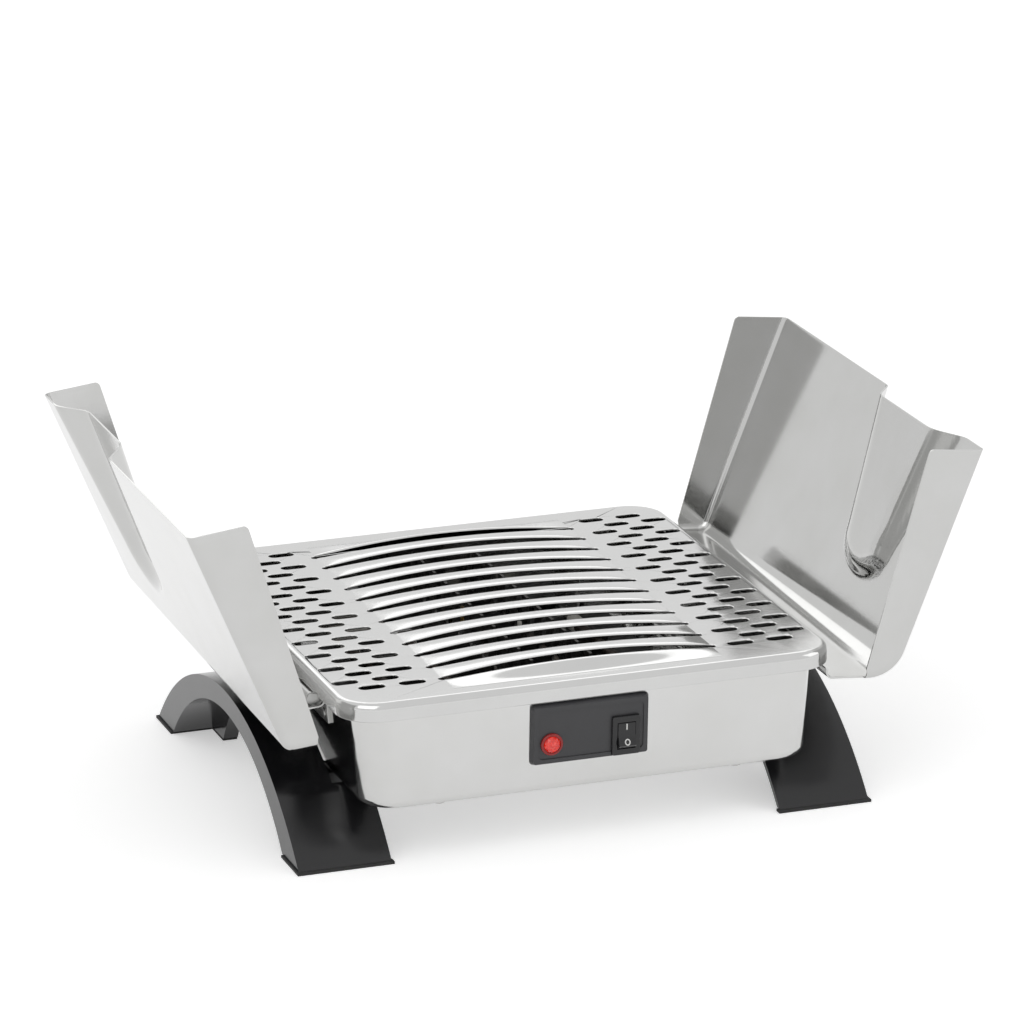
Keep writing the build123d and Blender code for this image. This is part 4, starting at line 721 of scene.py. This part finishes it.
def on_rocker(distance, lift, across):
    """A point on the rocker's face, at a distance from the crease and a height over the face."""
    u = distance
    v = ROCKER_CREST + abs(u) * tan(ROCKER_TILT) + lift
    up = u * cos(ROCKER_TILT) + v * sin(ROCKER_TILT)
    out = -u * sin(ROCKER_TILT) + v * cos(ROCKER_TILT)
    return rocker_place(up, out, across)


def printed_outline(name, outer, inner):
    """A thin raised print between two outlines of (distance, across) points, or inside one."""
    points = []
    faces = []
    low, high = 0.01, 0.05
    loops = [outer] + ([inner] if inner else [])
    for loop in loops:
        for lift in (low, high):
            points += [on_rocker(u, lift, x) for u, x in loop]
    n = len(outer)
    for index in range(n):
        after = (index + 1) % n
        faces.append((index, after, n + after, n + index))
        if inner:
            faces.append((2 * n + after, 2 * n + index, 3 * n + index, 3 * n + after))
            faces.append((n + index, n + after, 3 * n + after, 3 * n + index))
            faces.append((after, index, 2 * n + index, 2 * n + after))
    if not inner:
        faces.append(tuple(range(n, 2 * n)))
        faces.append(tuple(reversed(range(n))))
    obj = build_object(name, points, faces, "print_white", smooth=False)
    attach(obj, "rocker")


MARK_DISTANCE = 4.0           # rocker's crease to the middle of each mark
STROKE_HALF_LENGTH = 1.6
STROKE_HALF_WIDTH = 0.35
RING_POINTS = 32


def ring(half_length, half_width):
    angles = [2 * pi * index / RING_POINTS for index in range(RING_POINTS)]
    return [(-MARK_DISTANCE + half_length * cos(a), half_width * sin(a)) for a in angles]


low_end = MARK_DISTANCE - STROKE_HALF_LENGTH
high_end = MARK_DISTANCE + STROKE_HALF_LENGTH
stroke = [(low_end, -STROKE_HALF_WIDTH), (low_end, STROKE_HALF_WIDTH)]
stroke += [(high_end, STROKE_HALF_WIDTH), (high_end, -STROKE_HALF_WIDTH)]
printed_outline("mark_on", stroke, None)
printed_outline("mark_off", ring(1.7, 1.5), ring(1.1, 0.9))

# ---------------------------------------------------------------- finishes of the frame's own pieces
DEFAULT_EDGE = 0.2            # rounding of edges
EDGE = {"base_pan": 0.25, "top_plate": 0.4, "switch_panel": 0.3, "rocker": 0.35, "foot_right": 0.5,
        "foot_left": 0.5}
for name, obj in nodes.items():
    if obj.hide_render:
        continue
    set_finish(obj, NODE_FINISH[name])
    if name != "wiring":
        soften(obj, EDGE.get(name, DEFAULT_EDGE))

# ---------------------------------------------------------------- floor, light and camera
FLOOR_HALF = 30               # metres
FLOOR_GLOW = 0.42             # added where the floor is seen, so that it is white around the shadow
ROOM_LIGHT = 0.55             # light from all sides
LAMP_AIM = (0, 0, 0.1)

floor = bpy.data.meshes.new("floor")
corners = [(x * FLOOR_HALF, y * FLOOR_HALF, 0) for x, y in ((-1, -1), (1, -1), (1, 1), (-1, 1))]
floor.from_pydata(corners, [], [(0, 1, 2, 3)])
floor = bpy.data.objects.new("floor", floor)
scene.collection.objects.link(floor)
material, tree, shader = new_material("floor_white")
shader.inputs["Roughness"].default_value = 0.9
shader.inputs["Specular IOR Level"].default_value = 0.1
shader.inputs["Base Color"].default_value = (0.9, 0.9, 0.9, 1)
glow = math_node(tree, "MULTIPLY", seen_rays(tree), FLOOR_GLOW)
shader.inputs["Emission Color"].default_value = (1, 1, 1, 1)
tree.links.new(glow, shader.inputs["Emission Strength"])
floor.data.materials.append(material)

world = bpy.data.worlds.new("studio")
scene.world = world
world.use_nodes = True
tree = world.node_tree
background = tree.nodes["Background"]
background.inputs["Color"].default_value = (1, 1, 1, 1)
strength = math_node(tree, "MAXIMUM", seen_rays(tree), ROOM_LIGHT)
tree.links.new(strength, background.inputs["Strength"])


def area_lamp(name, place, size, watts):
    """A large lamp, at a place in metres, that shines on the part."""
    data = bpy.data.lights.new(name, "AREA")
    data.shape = "RECTANGLE"
    data.size, data.size_y = size
    data.energy = watts
    obj = bpy.data.objects.new(name, data)
    scene.collection.objects.link(obj)
    obj.location = place
    obj.rotation_euler = (Vector(LAMP_AIM) - Vector(place)).to_track_quat("-Z", "Y").to_euler()


area_lamp("key", (-1.6, -1.8, 2.4), (2.8, 2.8), 26)
area_lamp("fill", (2.2, -1.2, 1.4), (1.9, 1.9), 9)
area_lamp("back", (0.4, 2.4, 2.0), (2.2, 1.6), 9)

camera_data = bpy.data.cameras.new("camera")
camera = bpy.data.objects.new("camera", camera_data)
scene.collection.objects.link(camera)
camera_data.sensor_width = 36.0
camera_data.lens = 211.4
camera_data.clip_end = 100
camera.location = (-0.9683, -2.8284, 1.0642)
camera.rotation_euler = (radians(72.7832), radians(0.5694), radians(-19.1302))
scene.camera = camera
scene.view_settings.view_transform = "Standard"
